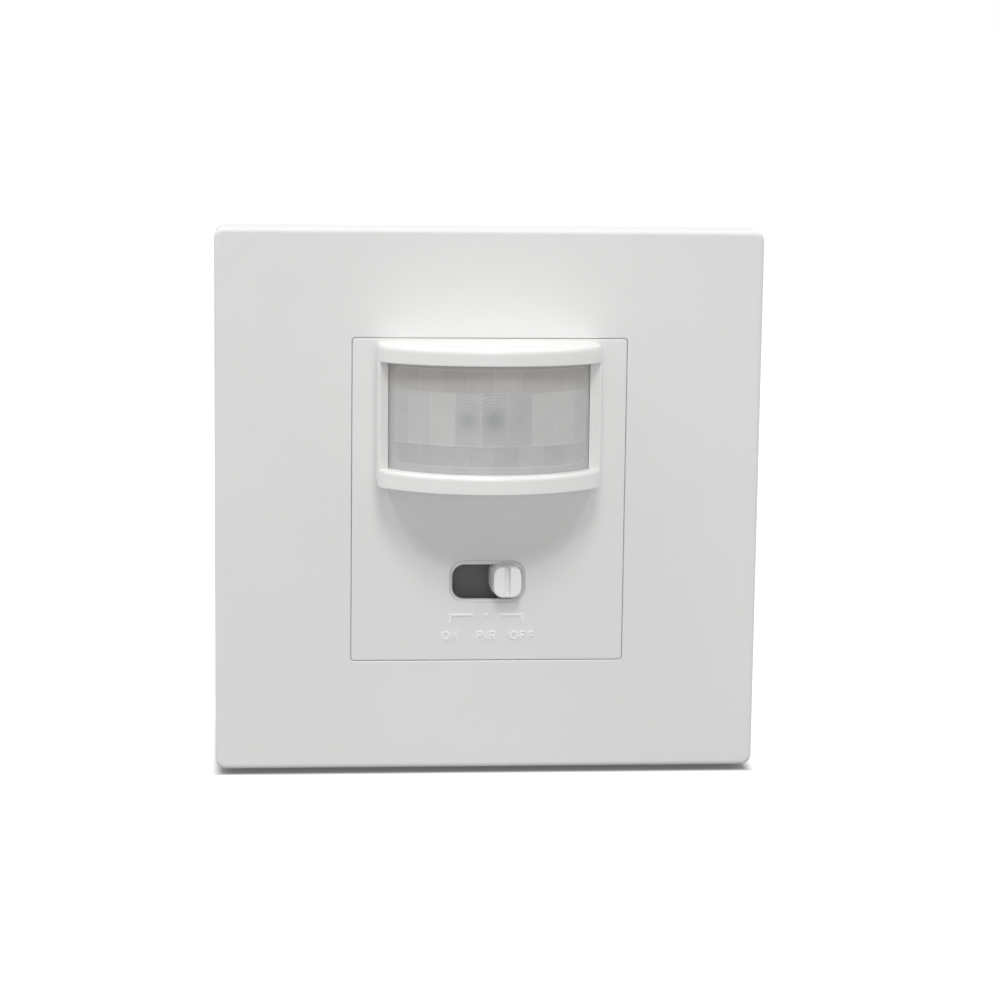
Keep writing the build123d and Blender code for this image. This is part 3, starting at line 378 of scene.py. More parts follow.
def relief(solid, loops, loose, height, keep):
    """A surface over closed loops and loose points; gives the numbers of each loop."""
    flat = []
    edges = []
    spans = []
    for points in loops:
        first = len(flat)
        count = len(points)
        flat.extend(points)
        edges.extend((first + i, first + (i + 1) % count) for i in range(count))
        spans.append((first, count))
    flat.extend(loose)
    found = delaunay_2d_cdt([Vector(p) for p in flat], edges, [], 0, 1e-7)
    corners, faces, sources = found[0], found[2], found[3]
    place = {}
    for number, known in enumerate(sources):
        for source in known:
            place[source] = number
    numbers = solid.add([(p.x, height(p.x, p.y), p.y) for p in corners])
    for face in faces:
        x = sum(corners[i].x for i in face) / len(face)
        z = sum(corners[i].y for i in face) / len(face)
        if keep(x, z):
            solid.faces.append(tuple(numbers[i] for i in face))
    return [[numbers[place[first + i]] for i in range(count)] for first, count in spans]


def loop_of(rectangle, across=24, up=24, turn=6):
    """The flat points of a rounded rectangle's outline."""
    return [(x, z) for x, z, _, _ in outline(*rectangle, across, up, turn)]


def thin_line(height, half, gap, steps=120):
    """A very thin rectangle across a surface, where its form breaks or bends."""
    low = [(-half + 2 * half * i / steps, height) for i in range(steps + 1)]
    return low + [(x, height + gap) for x, _ in reversed(low)]


def grid(left, right, bottom, top, step):
    """Evenly spaced points over a rectangle."""
    columns = max(1, round((right - left) / step))
    rows = max(1, round((top - bottom) / step))
    return [
        (left + (right - left) * i / columns, bottom + (top - bottom) * j / rows)
        for i in range(columns + 1)
        for j in range(rows + 1)
    ]


# Materials


class Look:
    """The nodes of a material or of the world, and short ways to fill them."""

    def __init__(self, owner, shader):
        owner.use_nodes = True
        self.owner = owner
        self.shader = owner.node_tree.nodes[shader]
        self.where = None

    def fill(self, node, inputs):
        """Gives sockets their plain values, or links them to other nodes' outputs."""
        for name, value in inputs.items():
            if isinstance(value, bpy.types.NodeSocket):
                self.owner.node_tree.links.new(value, node.inputs[name])
            else:
                node.inputs[name].default_value = value

    def new(self, kind, inputs):
        """A new node with its inputs filled."""
        node = self.owner.node_tree.nodes.new("ShaderNode" + kind)
        self.fill(node, inputs)
        return node

    def noise(self, size, detail=2.0, stretch=(1.0, 1.0, 1.0)):
        """Noise whose grains are about size millimetres, 0 to 1."""
        spot = self.new("Mapping", {"Scale": stretch, "Vector": self.where}).outputs["Vector"]
        scale = 1 / (size * mm)
        return self.new("TexNoise", {"Scale": scale, "Detail": detail, "Vector": spot}).outputs["Fac"]

    def ramp(self, value, low, high, start=0.35, end=0.65):
        """A colour that goes from low to high as a value rises."""
        node = self.new("ValToRGB", {"Fac": value})
        node.color_ramp.elements[0].position = start
        node.color_ramp.elements[1].position = end
        node.color_ramp.elements[0].color = (*low, 1)
        node.color_ramp.elements[1].color = (*high, 1)
        return node.outputs["Color"]

    def spread(self, value, low, high, start=0.0, end=1.0):
        """A number that goes from low to high as a value rises from start to end."""
        ends = {"From Min": start, "From Max": end, "To Min": low, "To Max": high}
        return self.new("MapRange", {"Value": value, **ends}).outputs["Result"]

    def reckon(self, operation, *values):
        """The result of a sum, whose values are plain numbers or other nodes' outputs."""
        node = self.new("Math", {})
        node.operation = operation
        self.fill(node, dict(enumerate(values)))
        return node.outputs["Value"]

    def bump(self, *heights):
        """Bumps from (value, depth in millimetres) pairs, one over another."""
        normal = {}
        for value, depth in heights:
            node = self.new("Bump", {"Distance": depth * mm, "Height": value, **normal})
            normal = {"Normal": node.outputs["Normal"]}
        self.fill(self.shader, normal)

    def seen_directly(self):
        """1 for rays that come straight, by a reflection or through glass from the camera."""
        path = self.new("LightPath", {}).outputs
        straight = self.reckon("MAXIMUM", path["Is Camera Ray"], path["Is Glossy Ray"])
        return self.reckon("MAXIMUM", straight, path["Is Transmission Ray"])


def new_look(name):
    """The look of a new material, whose patterns stay fixed to the object."""
    look = Look(bpy.data.materials.new(name), "Principled BSDF")
    look.where = look.new("TexCoord", {}).outputs["Object"]
    return look


def shade(colour, factor):
    """A colour made lighter or darker."""
    return tuple(min(c * factor, 1.0) for c in colour)


def plastic(
    name, colour, roughness=0.4, grain=0.25, depth=0.004, mottle=0.02, sheen=0.5, uneven=0.05
):
    """Moulded plastic: a faint mottle, a fine spark-eroded grain and uneven gloss."""
    look = new_look(name)
    cloud, smear = look.noise(9.0, 3.0), look.noise(3.0, 4.0)
    inputs = {
        "Base Color": look.ramp(cloud, shade(colour, 1 - mottle), shade(colour, 1 + mottle)),
        "Roughness": look.spread(smear, roughness - uneven, roughness + uneven),
        "Specular IOR Level": sheen,
    }
    look.fill(look.shader, inputs)
    look.bump((look.noise(grain, 2.0), depth), (look.noise(14.0, 1.0), depth * 6))
    return look.owner


def metal(name, colour, roughness=0.32, stretch=(1.0, 1.0, 12.0), grain=0.4, depth=0.003):
    """Rolled or drawn metal: streaks along one direction, and spots of duller skin."""
    look = new_look(name)
    streak, cloud = look.noise(grain * 4, 4.0, stretch), look.noise(6.0, 4.0)
    inputs = {
        "Base Color": look.ramp(cloud, shade(colour, 0.88), shade(colour, 1.05)),
        "Metallic": 1.0,
        "Roughness": look.spread(streak, roughness - 0.1, roughness + 0.12),
    }
    look.fill(look.shader, inputs)
    look.bump((streak, depth))
    return look.owner


def white_plastic():
    """The matt white of the plate and the insert."""
    return plastic("white_plastic", (0.80, 0.797, 0.79), 0.52, 0.22, 0.0035, 0.006)


def bezel_plastic():
    """The glossier white of the hood round the lens."""
    return plastic("bezel_plastic", (0.845, 0.838, 0.827), 0.3, 0.4, 0.0004, 0.004, 0.42, 0.01)


def knob_plastic():
    """The knob's white."""
    return plastic("knob_plastic", (0.93, 0.927, 0.92), 0.34, 0.2, 0.002, 0.008)


def lens_plastic():
    """Milky polyethylene that lets some light through, a little darker in its top row."""
    look = new_look("lens_plastic")
    # The tone attribute carries painted light and shade on the rings, and painted shade under the top bar
    # and towards the lens's ends
    tone = look.new("Attribute", {})
    tone.attribute_name = "tone"
    shaded = look.reckon("MULTIPLY_ADD", look.noise(2.5, 4.0), 0.2, tone.outputs["Fac"])
    body = look.ramp(shaded, (0.36, 0.375, 0.385), (0.76, 0.755, 0.74), 0.2, 1.1)
    height = look.new("SeparateXYZ", {"Vector": look.where}).outputs["Z"]
    row = look.spread(height, 0.0, 1.0, (lens_row_high - 0.2) * mm, (lens_row_high + 0.2) * mm)
    darker = look.new("Mix", {})
    darker.data_type = "RGBA"
    darker.blend_type = "MULTIPLY"
    look.fill(darker, {"Factor": row, "A": body, "B": (1.0, 0.965, 0.94, 1)})
    colour = darker.outputs["Result"]
    inputs = {"Base Color": colour, "Transmission Weight": 0.18, "Roughness": 0.36, "IOR": 1.5}
    look.fill(look.shader, inputs)
    look.bump((look.noise(0.3, 2.0), 0.004))
    return look.owner


def circuit_board():
    """Green solder mask with lighter copper runs under it."""
    look = new_look("circuit_board")
    inputs = {
        "Scale": 1 / (6 * mm),
        "Mortar Size": 0.05,
        "Color1": (0.02, 0.14, 0.05, 1),
        "Color2": (0.018, 0.12, 0.045, 1),
        "Mortar": (0.05, 0.24, 0.09, 1),
        "Vector": look.new("Mapping", {"Rotation": (pi / 2, 0, 0), "Vector": look.where}).outputs["Vector"],
    }
    cells = look.new("TexBrick", inputs).outputs
    weave = look.noise(0.5, 2.0)
    look.fill(look.shader, {"Base Color": cells["Color"], "Roughness": look.spread(weave, 0.25, 0.4)})
    look.bump((cells["Fac"], 0.02), (weave, 0.004))
    return look.owner


def glassy(name, low, high, size, roughness, clear, depth):
    """Smooth glass or resin with a faint cloud in it."""
    look = new_look(name)
    cloud = look.noise(size, 2.0)
    colour = look.ramp(cloud, low, high)
    inputs = {"Base Color": colour, "Roughness": roughness, "Transmission Weight": clear}
    look.fill(look.shader, inputs)
    look.bump((cloud, depth))
    return look.owner


def filter_glass():
    """The detector's dark filter."""
    return glassy("filter_glass", (0.02, 0.018, 0.03), (0.04, 0.03, 0.05), 1.0, 0.08, 0.0, 0.001)


def lamp_resin():
    """Clear red resin."""
    return glassy("lamp_resin", (0.5, 0.03, 0.02), (0.6, 0.05, 0.03), 1.5, 0.12, 0.5, 0.002)


# Colour, roughness, grain, depth of the grain and mottle of each plain plastic and ceramic
plastics = {
    "lid_plastic": ((0.06, 0.06, 0.064), 0.5, 0.3, 0.006, 0.08),
    "housing_plastic": ((0.7, 0.702, 0.69), 0.48, 0.35, 0.008, 0.02),
    "ceramic_carrier": ((0.7, 0.68, 0.62), 0.5, 0.15),
    "sensor_ceramic": ((0.66, 0.24, 0.12), 0.35, 0.3),
    "chip_plastic": ((0.02, 0.02, 0.022), 0.5, 0.12, 0.004, 0.1),
    "capacitor_ceramic": ((0.42, 0.3, 0.18), 0.4, 0.1),
    "resistor_ceramic": ((0.03, 0.03, 0.035), 0.35, 0.1),
    "trimmer_plastic": ((0.05, 0.14, 0.42), 0.38, 0.2),
    "dial_plastic": ((0.83, 0.74, 0.2), 0.4, 0.2),
    "header_plastic": ((0.02, 0.02, 0.02), 0.45, 0.2),
    "relay_plastic": ((0.05, 0.18, 0.5), 0.35, 0.3),
    "film_plastic": ((0.7, 0.53, 0.07), 0.4, 0.3),
    "sleeve_plastic": ((0.015, 0.02, 0.05), 0.25, 0.5),
    "diode_plastic": ((0.02, 0.02, 0.02), 0.4, 0.2),
    "fuse_ceramic": ((0.38, 0.53, 0.43), 0.55, 0.2),
    "varistor_ceramic": ((0.06, 0.14, 0.45), 0.35, 0.4),
    "terminal_plastic": ((0.06, 0.28, 0.14), 0.45, 0.25),
    "slider_plastic": ((0.03, 0.03, 0.03), 0.4, 0.2),
    "shutter_plastic": ((0.095, 0.093, 0.092), 0.5, 0.3),
}
# Colour, roughness, stretch and grain of each metal
metals = {
    "strap_steel": ((0.62, 0.63, 0.64), 0.36),
    "screw_steel": ((0.66, 0.66, 0.65), 0.28, (1, 1, 1), 0.15),
    "can_metal": ((0.72, 0.70, 0.66), 0.25, (1, 6, 1), 0.3),
    "contact_brass": ((0.72, 0.54, 0.25), 0.3, (1, 1, 1), 0.2),
}


def make_materials():
    """One material for each of the record's slots."""
    own = (white_plastic, bezel_plastic, lens_plastic, knob_plastic)
    own += (circuit_board, filter_glass, lamp_resin)
    materials = {make.__name__: make() for make in own}
    materials.update({name: plastic(name, *values) for name, values in plastics.items()})
    materials.update({name: metal(name, *values) for name, values in metals.items()})
    return materials


# Camera, floor and light


def make_camera():
    """The camera at the photograph's viewing angle."""
    yaw, pitch, roll = (radians(a) for a in (camera_yaw, camera_pitch, camera_roll))
    back = Vector((-sin(yaw) * cos(pitch), -cos(yaw) * cos(pitch), sin(pitch)))
    right = (-back).cross(Vector((0, 0, 1))).normalized()
    up = right.cross(-back)
    turned_right = cos(roll) * right + sin(roll) * up
    turned_up = -sin(roll) * right + cos(roll) * up
    data = bpy.data.cameras.new("camera")
    data.sensor_width = 36.0
    data.lens = camera_lens
    data.clip_start = 0.01
    data.clip_end = 20.0
    camera = add_object("camera", data)
    turn = Matrix((turned_right, turned_up, back)).transposed().to_4x4()
    place = (Vector(camera_target) + back * camera_distance) * mm
    camera.matrix_world = Matrix.Translation(place) @ turn
    bpy.context.scene.camera = camera


floor_z = -43.9
floor_half = 2500.0
floor_colour = 0.35
floor_glow = 0.85
floor_glow_under = 0.1
ambient = 0.45
# Name, power, size and distance in metres, elevation and azimuth of each lamp
lamps = [
    ("key", 29.0, 0.9, 3.0, 51.0, 1.0),
    ("left", 14.5, 1.2, 2.0, 56.0, 82.0),
    ("right", 6.5, 1.2, 2.0, 50.0, -82.0),
    ("front", 21.5, 2.4, 3.0, 4.0, 0.0),
]


def make_floor():
    """A pale floor that shows white, and keeps the shadow under the plate's lower edge."""
    data = bpy.data.meshes.new("floor")
    half = floor_half * mm
    height = floor_z * mm
    corners = [(-half, -half, height), (half, -half, height), (half, half, height), (-half, half, height)]
    data.from_pydata(corners, [], [(0, 1, 2, 3)])
    floor = add_object("floor", data)
    look = new_look("floor")
    tone = (floor_colour,) * 3
    spot = look.new("SeparateXYZ", {"Vector": look.where}).outputs
    front = look.spread(spot["Y"], 1.0, 0.0, (face_y - 0.6) * mm, (face_y + 0.6) * mm)
    edge = (plate_half - 1.0) * mm, (plate_half + 1.0) * mm
    beside = look.spread(look.reckon("ABSOLUTE", spot["X"]), 0.0, 1.0, *edge)
    behind = look.spread(spot["Y"], 0.0, 1.0, 0.0, 30 * mm)
    open_floor = look.reckon("MAXIMUM", look.reckon("MAXIMUM", front, beside), behind)
    glow = look.spread(open_floor, floor_glow_under, floor_glow)
    inputs = {
        "Base Color": look.ramp(look.noise(4.0, 2.0), shade(tone, 0.995), shade(tone, 1.005)),
        "Roughness": 0.9,
        "Specular IOR Level": 0.1,
        "Emission Color": (1, 1, 1, 1),
        "Emission Strength": look.reckon("MULTIPLY", glow, look.seen_directly()),
    }
    look.fill(look.shader, inputs)
    data.materials.append(look.owner)


def make_light():
    """Even light all round, a high lamp in front, one at each side and a broad low one in front."""
    world = bpy.data.worlds.new("studio")
    bpy.context.scene.world = world
    look = Look(world, "Background")
    strength = look.spread(look.seen_directly(), ambient, 1.0)
    look.fill(look.shader, {"Color": (1, 1, 1, 1), "Strength": strength})
    for name, power, size, far, elevation, azimuth in lamps:
        data = bpy.data.lights.new(name, "AREA")
        data.shape = "DISK"
        data.size = size
        data.energy = power
        lamp = add_object(name, data)
        up, turn = radians(elevation), radians(azimuth)
        towards = Vector((-sin(turn) * cos(up), -cos(turn) * cos(up), sin(up)))
        lamp.location = towards * far
        lamp.rotation_euler = towards.to_track_quat("Z", "Y").to_euler()


# The visible pieces


# Outlines, each as left, right, bottom, top and corner
cover_shape = (-cover_half, cover_half, cover_bottom, cover_top, cover_corner)
opening_shape = grown(cover_shape, insert_gap)
slot_shape = (-slot_half[0], slot_half[0], slot_z - slot_half[1], slot_z + slot_half[1], slot_corner)
collar_shape = grown(slot_shape, slot_collar_wall)
land_shape = (-land_half_width, land_half_width, land_bottom, land_top, land_corner)
lens_hole = (-lens_hole_half, lens_hole_half, lens_hole_bottom, lens_hole_top, 0.3)
bezel_shape = (-bezel_half_front, bezel_half_front, bezel_bottom, bezel_top, bezel_corner)
window_shape = (window_left, window_right, window_bottom, window_top, window_corner)


def rounded_front(shape, depth, radius, sign, guard=0.15):
    """Rings from a wall round a front edge to the flat face; sign is 1 for an outer edge."""
    rings = [flat_ring(shape, depth + radius + guard)]
    for inset, drop in reversed(rounding()):
        rings.append(flat_ring(shape, depth + radius * drop, sign * radius * inset))
    rings.append(flat_ring(shape, depth, sign * (radius + guard)))
    return rings


def post(solid, shape, front, back, edge):
    """A bar along Y with a slightly rounded rear end."""
    rings = [flat_ring(shape, front), flat_ring(shape, back - edge - 0.1)]
    for inset, drop in reversed(rounding(3)):
        rings.append(flat_ring(shape, back - edge * drop, edge * inset))
    solid.bar(rings)


def block_post(solid, left, right, bottom, top, front, back, edge=0.12):
    """A rectangular bar along Y."""
    post(solid, outline(left, right, bottom, top, edge * 1.5, 2, 2, 3), front, back, edge)


def surround_plate():
    """The square plate: one profile carried round the opening and the outer edge."""
    solid = Solid()
    inner = outline(*opening_shape)
    outer = outline(-plate_half, plate_half, -plate_half, plate_half, plate_corner)
    rim_half = plate_half - plate_rim
    rim = outline(-rim_half, rim_half, -rim_half, rim_half, 0.3)
    collar = outline(*grown(opening_shape, collar_wall))
    rings = [flat_ring(inner, collar_back_y)]
    rings += rounded_front(inner, face_y, small_edge, -1)
    rings += reversed(rounded_front(outer, face_y, plate_edge, 1))
    rings += [
        flat_ring(outer, -small_edge - 0.1),
        flat_ring(outer, -small_edge),
        flat_ring(outer, 0.0, small_edge),
        flat_ring(rim, 0.0, -small_edge),
        flat_ring(rim, -small_edge),
        flat_ring(rim, wall_back_y),
        flat_ring(collar, wall_back_y),
        flat_ring(collar, collar_back_y - small_edge),
        flat_ring(collar, collar_back_y, small_edge),
    ]
    solid.tube(rings, closed=True)
    for x, z in leg_places:
        across, up = leg_half
        block_post(solid, x - across, x + across, z - up, z + up, wall_back_y - 0.5, leg_tip_y)
    for x, z in post_places:
        spot = (x - post_radius, x + post_radius, z - post_radius, z + post_radius, post_radius)
        post(solid, outline(*spot, 1, 1, 6), wall_back_y - 0.5, post_tip_y, 0.2)
    return solid


def swell(x, z):
    """How far the chin stands out from the cover's face."""
    x -= chin_x
    fall = bezel_bottom - z
    bow = 1 + chin_bow * (fall / (bezel_bottom - chin_toe) - 1)
    lean = chin_axis_y + chin_slope * fall * bow
    front = face_y - lean + sqrt(max(chin_radius**2 - x * x, 0.0))
    side = chin_side_slope * (chin_side - abs(x))
    lower = smooth_min(front, side, 0.6)
    blend = chin_blend_top + (chin_blend_toe - chin_blend_top) * smooth_step(2.0, -8.0, z)
    return -smooth_min(-lower, 0.0, blend)


def smooth_min(one, other, blend):
    """The lower of two values, with a round transition."""
    share = min(max(0.5 + 0.5 * (other - one) / blend, 0.0), 1.0)
    return other + (one - other) * share - blend * share * (1 - share)


def round_drop(inside, radius):
    """How far a rounded edge falls off at a distance inside it."""
    gap = radius - min(max(inside, 0.0), radius)
    return radius - sqrt(max(radius**2 - gap**2, 0.0))


def bezel_leg_holes():
    """The four holes for the bezel's legs, hidden under its foot."""
    half = bezel_leg_hole_half
    return [
        (middle - half, middle + half, z - bezel_leg_hole_below, z + bezel_leg_hole_above, 0.2)
        for z in bezel_leg_heights
        for middle in (axis_x - bezel_leg_x, axis_x + bezel_leg_x)
    ]


def cover_front(x, z):
    """The depth of the cover's outer surface."""
    depth = face_y - swell(x, z) if z <= bezel_bottom + 0.005 else face_y
    share = smooth_step(0.12, 0.12 - land_slope, distance(land_shape, x, z))
    depth += (face_y + land_depth - depth) * share
    depth += round_drop(distance(slot_shape, x, z), slot_lip)
    return depth + round_drop(-distance(cover_shape, x, z), cover_edge)


def cover_rear(x, z):
    """The depth of the cover's inner surface."""
    if z > bezel_bottom - chin_wall + 0.005:
        return wall_back_y
    radius = chin_radius - chin_wall
    lean = chin_axis_y + chin_rear_shift + chin_slope * (bezel_bottom - chin_wall - z)
    front = wall_back_y - lean + sqrt(max(radius**2 - x * x, 0.0))
    side = chin_rear_slope * (chin_rear_side - abs(x))
    return wall_back_y - max(min(front, side), 0.0)


def far_from(points, shapes, gap):
    """The points that keep their distance from all the outlines."""
    return [p for p in points if all(abs(distance(s, *p)) > gap for s in shapes)]


def cover_skin(solid, height, edge, slot, steps, loose, chin_line):
    """One side of the cover with its holes; gives the numbers of the edge and hole loops."""
    holes = [slot, lens_hole, *bezel_leg_holes()]
    loops = [loop_of(edge), loop_of(slot, 16, 6, 10)]
    loops += [loop_of(hole, 8, 8, 2) for hole in holes[1:]]
    loops += [chin_line]
    loops += [loop_of(shape, 24, 12, 10) for shape in steps]

    def keep(x, z):
        return all(distance(hole, x, z) > 0 for hole in holes) and distance(edge, x, z) < 0

    return relief(solid, loops, far_from(loose, [edge, *holes, *steps], 0.1), height, keep)


def front_cover():
    """The insert: face, chin, slot with its land, rim walls, lens frame and clips."""
    solid = Solid()
    edge = cover_shape
    steps = [grown(edge, -cover_edge * s) for s in (0.08, 0.3, 0.6, 1.0, 1.7)]
    steps += [grown(slot_shape, slot_lip * s) for s in (0.1, 0.4, 1.0)]
    steps += [grown(land_shape, 0.12 - land_slope * s) for s in (0.0, 0.2, 0.5, 0.8, 1.0)]
    loose = grid(-cover_half + 0.5, cover_half - 0.5, cover_bottom + 0.5, cover_top - 0.5, 1.5)
    loose = [p for p in loose if not (abs(p[0]) < 19.5 and -14 < p[1] < 4.5)]
    fine = grid(-19.2, 19.2, -13.9, 3.3, chin_mesh_step)
    fine += grid(-19.2, 19.2, 3.6, 4.2, 0.5)
    line = thin_line(bezel_bottom, 18.6, 0.01)
    front = cover_skin(solid, cover_front, edge, slot_shape, steps, loose + fine, line)
    inner = (*grown(edge, -cover_rim)[:4], rim_corner)
    inside = grid(-19.5, 19.5, cover_bottom + 2, cover_top - 2, 0.9)
    line = thin_line(bezel_bottom - chin_wall, 16.5, 0.01)
    rear = cover_skin(solid, cover_rear, inner, collar_shape, [], inside, line)
    sides = outline(*edge)
    wall = solid.add(flat_ring(sides, face_y + cover_edge + 0.2))
    back = solid.add(flat_ring(sides, cover_back_y - 0.1))
    rim_out = solid.add(flat_ring(sides, cover_back_y, 0.1))
    rim_in = solid.add(flat_ring(outline(*inner), cover_back_y))
    solid.join([front[0], wall, back, rim_out, rim_in, rear[0]])
    slot = outline(*slot_shape, 16, 6, 10)
    rings = [
        front[1],
        solid.add(flat_ring(slot, slot_wall_y)),
        solid.add(flat_ring(slot, slot_wall_y + 0.3, -slot_undercut)),
        solid.add(flat_ring(slot, slot_collar_back_y, -slot_undercut)),
        solid.add(flat_ring(slot, slot_collar_back_y, -slot_collar_wall)),
        rear[1],
    ]
    solid.join(rings)
    for number in range(2, 3 + len(bezel_leg_holes())):
        solid.band(front[number], rear[number])
    half = lens_frame_half
    outer_frame = outline(-half, half, lens_bottom, lens_top, 0.4, 60, 8, 4)
    half = lens_frame_bore
    inner_frame = outline(-half, half, lens_hole_bottom, lens_hole_top, 0.3, 60, 8, 4)
    seat = lens_radius - lens_thickness - 0.05
    solid.tube(
        [
            flat_ring(outer_frame, wall_back_y - 1.0),
            curved_ring(outer_frame, seat),
            curved_ring(inner_frame, seat),
            flat_ring(inner_frame, wall_back_y - 1.0),
        ],
        closed=True,
    )
    for x in (-clip_x, clip_x):
        for low, high in clip_spans:
            left, right = x - clip_half_width, x + clip_half_width
            block_post(solid, left, right, low, high, wall_back_y - 0.5, clip_tip_y)
            tip = (low - clip_hook, high - 0.01) if low < 0 else (low + 0.01, high + clip_hook)
            block_post(solid, left + 0.01, right - 0.01, *tip, clip_hook_y, clip_tip_y - 0.01)
    return solid


def curved_depth(x, radius):
    """The depth of the round front of the bezel or the lens."""
    return axis_y - sqrt(max(radius**2 - x * x, 0.0))


def curved_ring(shape, radius, inset=0.0, drop=0.0):
    """An outline laid on a round front, moved inwards and back."""
    ring = []
    for x, z, nx, nz in shape:
        across = x - inset * nx
        ring.append((across, curved_depth(across, radius) + drop, z - inset * nz))
    return ring


def post_depth(x):
    """The front of the post at each end of the window, which slopes back to the lens."""
    inner_y = post_inner_left_y if x < 0 else post_inner_right_y
    share = min(max((abs(x) - post_inner) / (post_outer - post_inner), 0.0), 1.0)
    return inner_y + (post_outer_y - inner_y) * share


def bar_sag(x, z):
    """How much lower the two bars are towards their ends."""
    upper = smooth_step(window_bottom, window_top, z)
    sag = bar_sag_bottom + (bar_sag_top - bar_sag_bottom) * upper
    return sag * (x / post_outer) ** 2


def bezel_front(x, z):
    """The depth of the hood's front: two bowed bars, and the posts set back between them."""
    bar = curved_depth(x, bezel_radius) + round_drop(bezel_half_front - abs(x), bezel_round_side)
    post = -smooth_min(-bar, -post_depth(x), post_blend)
    if window_bottom + 0.01 < z < window_top - 0.01:
        return post
    if z < window_bottom + 0.02:
        edge = bar + round_drop(window_bottom - z, window_round_sill)
        return min(edge, post) + round_drop(z - bezel_bottom, bezel_round_bottom)
    edge = bar + round_drop(z - window_top, window_round_top)
    return min(edge, post) + round_drop(bezel_top - z, bezel_round_top)


def lens_bezel():
    """The hood: bowed bars above and below a window, a post at each end, and four legs."""
    solid = Solid()
    fine = (110, 24, 8)
    shape = bezel_shape
    window = window_shape
    loops = [loop_of(shape, *fine), loop_of(window, *fine)]
    insets = (0.01, 0.04, 0.09, 0.15, 0.22, 0.32, 0.45, 0.62, 0.85, 1.15, 1.5)
    loops += [loop_of(grown(shape, -inset), *fine) for inset in insets]
    for share in (0.04, 0.14, 0.3, 0.5, 0.75, 1.05):
        for height in (window_bottom - share * window_round_sill, window_top + share * window_round_top):
            loops.append(thin_line(height, bezel_half_front - 0.01, 0.004))
    loose = grid(-16.5, 16.5, 4.2, 5.4, 0.6) + grid(-16.5, 16.5, 23.4, 24.8, 0.6)
    far = bezel_half_front - 0.05
    for left, right in ((-far, window_left - 0.02), (window_right + 0.02, far)):
        for low in (window_bottom, window_top - 0.02):
            loops.append(loop_of((left, right, low, low + 0.02, 0.005), 16, 1, 1))
        loose += grid(left + 0.05, right - 0.05, window_bottom + 0.2, window_top - 0.2, 0.17)

    def keep(x, z):
        return distance(shape, x, z) < 0 and distance(window, x, z) > 0

    loose = far_from([p for p in loose if keep(*p)], [shape, window], 0.03)
    front = relief(solid, loops, loose, bezel_front, keep)
    foot = outline(-bezel_half, bezel_half, bezel_bottom, bezel_top, bezel_corner, *fine)
    throat = outline(*window, *fine)
    cavity = outline(-cavity_half, cavity_half, cavity_bottom, cavity_top, 0.3, *fine)
    inner_radius = lens_radius + 0.03
    rings = [
        front[1],
        solid.add(curved_ring(throat, inner_radius, drop=-0.05)),
        solid.add(curved_ring(throat, inner_radius)),
        solid.add(curved_ring(cavity, inner_radius)),
        solid.add(flat_ring(cavity, face_y)),
        solid.add(flat_ring(foot, face_y)),
        front[0],
    ]
    solid.join(rings)
    half, reach = bezel_leg_half
    for x in (-bezel_leg_x, bezel_leg_x):
        for z in bezel_leg_heights:
            span = (z - reach, z + reach)
            block_post(solid, x - half, x + half, *span, face_y - 0.5, bezel_leg_tip_y)
            tip = (x, x + 2 * half) if x > 0 else (x - 2 * half, x)
            block_post(solid, *tip, *span, bezel_leg_hook_y, bezel_leg_tip_y)
    solid.points = [(x + axis_x, y, z - bar_sag(x, z)) for x, y, z in solid.points]
    return solid


def lens_segment(angle, z):
    """The centre angle and height of a lens segment, and how strongly its rings show."""
    row = 0 if z < lens_row_low else 1 if z < lens_row_high else 2
    height = lens_centre_heights[row]
    if row == 1:
        centre = round(angle / lens_column) * lens_column
        return centre, height, ring_strengths.get(centre, 0.25)
    centre = (int((angle + 360) // lens_column) + 0.5) * lens_column - 360
    return centre, height, 0.2


def lens_seam(angle, z):
    """How far a place lies from the nearest line between two segments."""
    middle = lens_row_low < z < lens_row_high
    shift = 0.5 * lens_column if middle else 0.0
    seam = abs((angle - shift + 0.5 * lens_column) % lens_column - 0.5 * lens_column)
    seam = radians(seam) * lens_radius
    return min(seam, abs(z - lens_row_low), abs(z - lens_row_high))


def lens_border(angle, z):
    """How far a place lies outside the pressed field of segments."""
    half = radians(lens_border_angle) * lens_radius
    field = (-half, half, lens_border_low, lens_border_high, lens_border_corner)
    return distance(field, radians(angle) * lens_radius, z)


def lens_groove(angle, z):
    """How deep the lens is pressed in at one place."""
    border = lens_border(angle, z)
    if border > 0:
        return -seam_depth * max(1 - border / seam_width, 0.0)
    centre, height, strong = lens_segment(angle, z)
    away = hypot(radians(angle - centre) * lens_radius, z - height)
    share = (away / ring_pitch) % 1.0
    upper = (0.4 + 0.6 * smooth_step(-0.5, 1.5, z - height)) * smooth_step(0.2, 1.5, away)
    depth = ring_depth * strong * upper * min(share / 0.8, (1 - share) / 0.2)
    seam = min(lens_seam(angle, z), -border)
    return depth - seam_depth * max(1 - seam / seam_width, 0.0)


def lens_tone(angle, z, tones):
    """The lens's shade at one place: segments, dull spots at their centres and bright seams, with painted
    light and shade along the rings and painted shade under the top bar.
    """
    # A strip under the top bar is painted dark: painted shade of the bar
    if z > window_top - 0.3:
        return 0.1
    border = lens_border(angle, z)
    if border > seam_width:
        return 0.55
    centre, height, _ = lens_segment(angle, z)
    row = lens_centre_heights.index(height)
    tone = tones[(row, round(centre))]
    spot = spot_shades.get(centre, 0.0) if row == 1 else 0.0
    away = hypot(radians(angle - centre) * lens_radius, z - height)
    tone -= spot * exp(-((away / spot_radius) ** 2))
    share = (away / ring_pitch) % 1.0
    # Each ring is painted from dark to light across its width: painted light and shade on the ring's facets
    tone += ring_painted_light.get(centre, 0.03) * (share - 0.5) * smooth_step(-0.3, 2.2, z - height)
    seam = min(lens_seam(angle, z), abs(border))
    line = 0.3 if abs(border) < seam_width or -7.5 < angle < -4.5 else 0.12
    return tone + line * max(1 - seam / seam_width, 0.0)


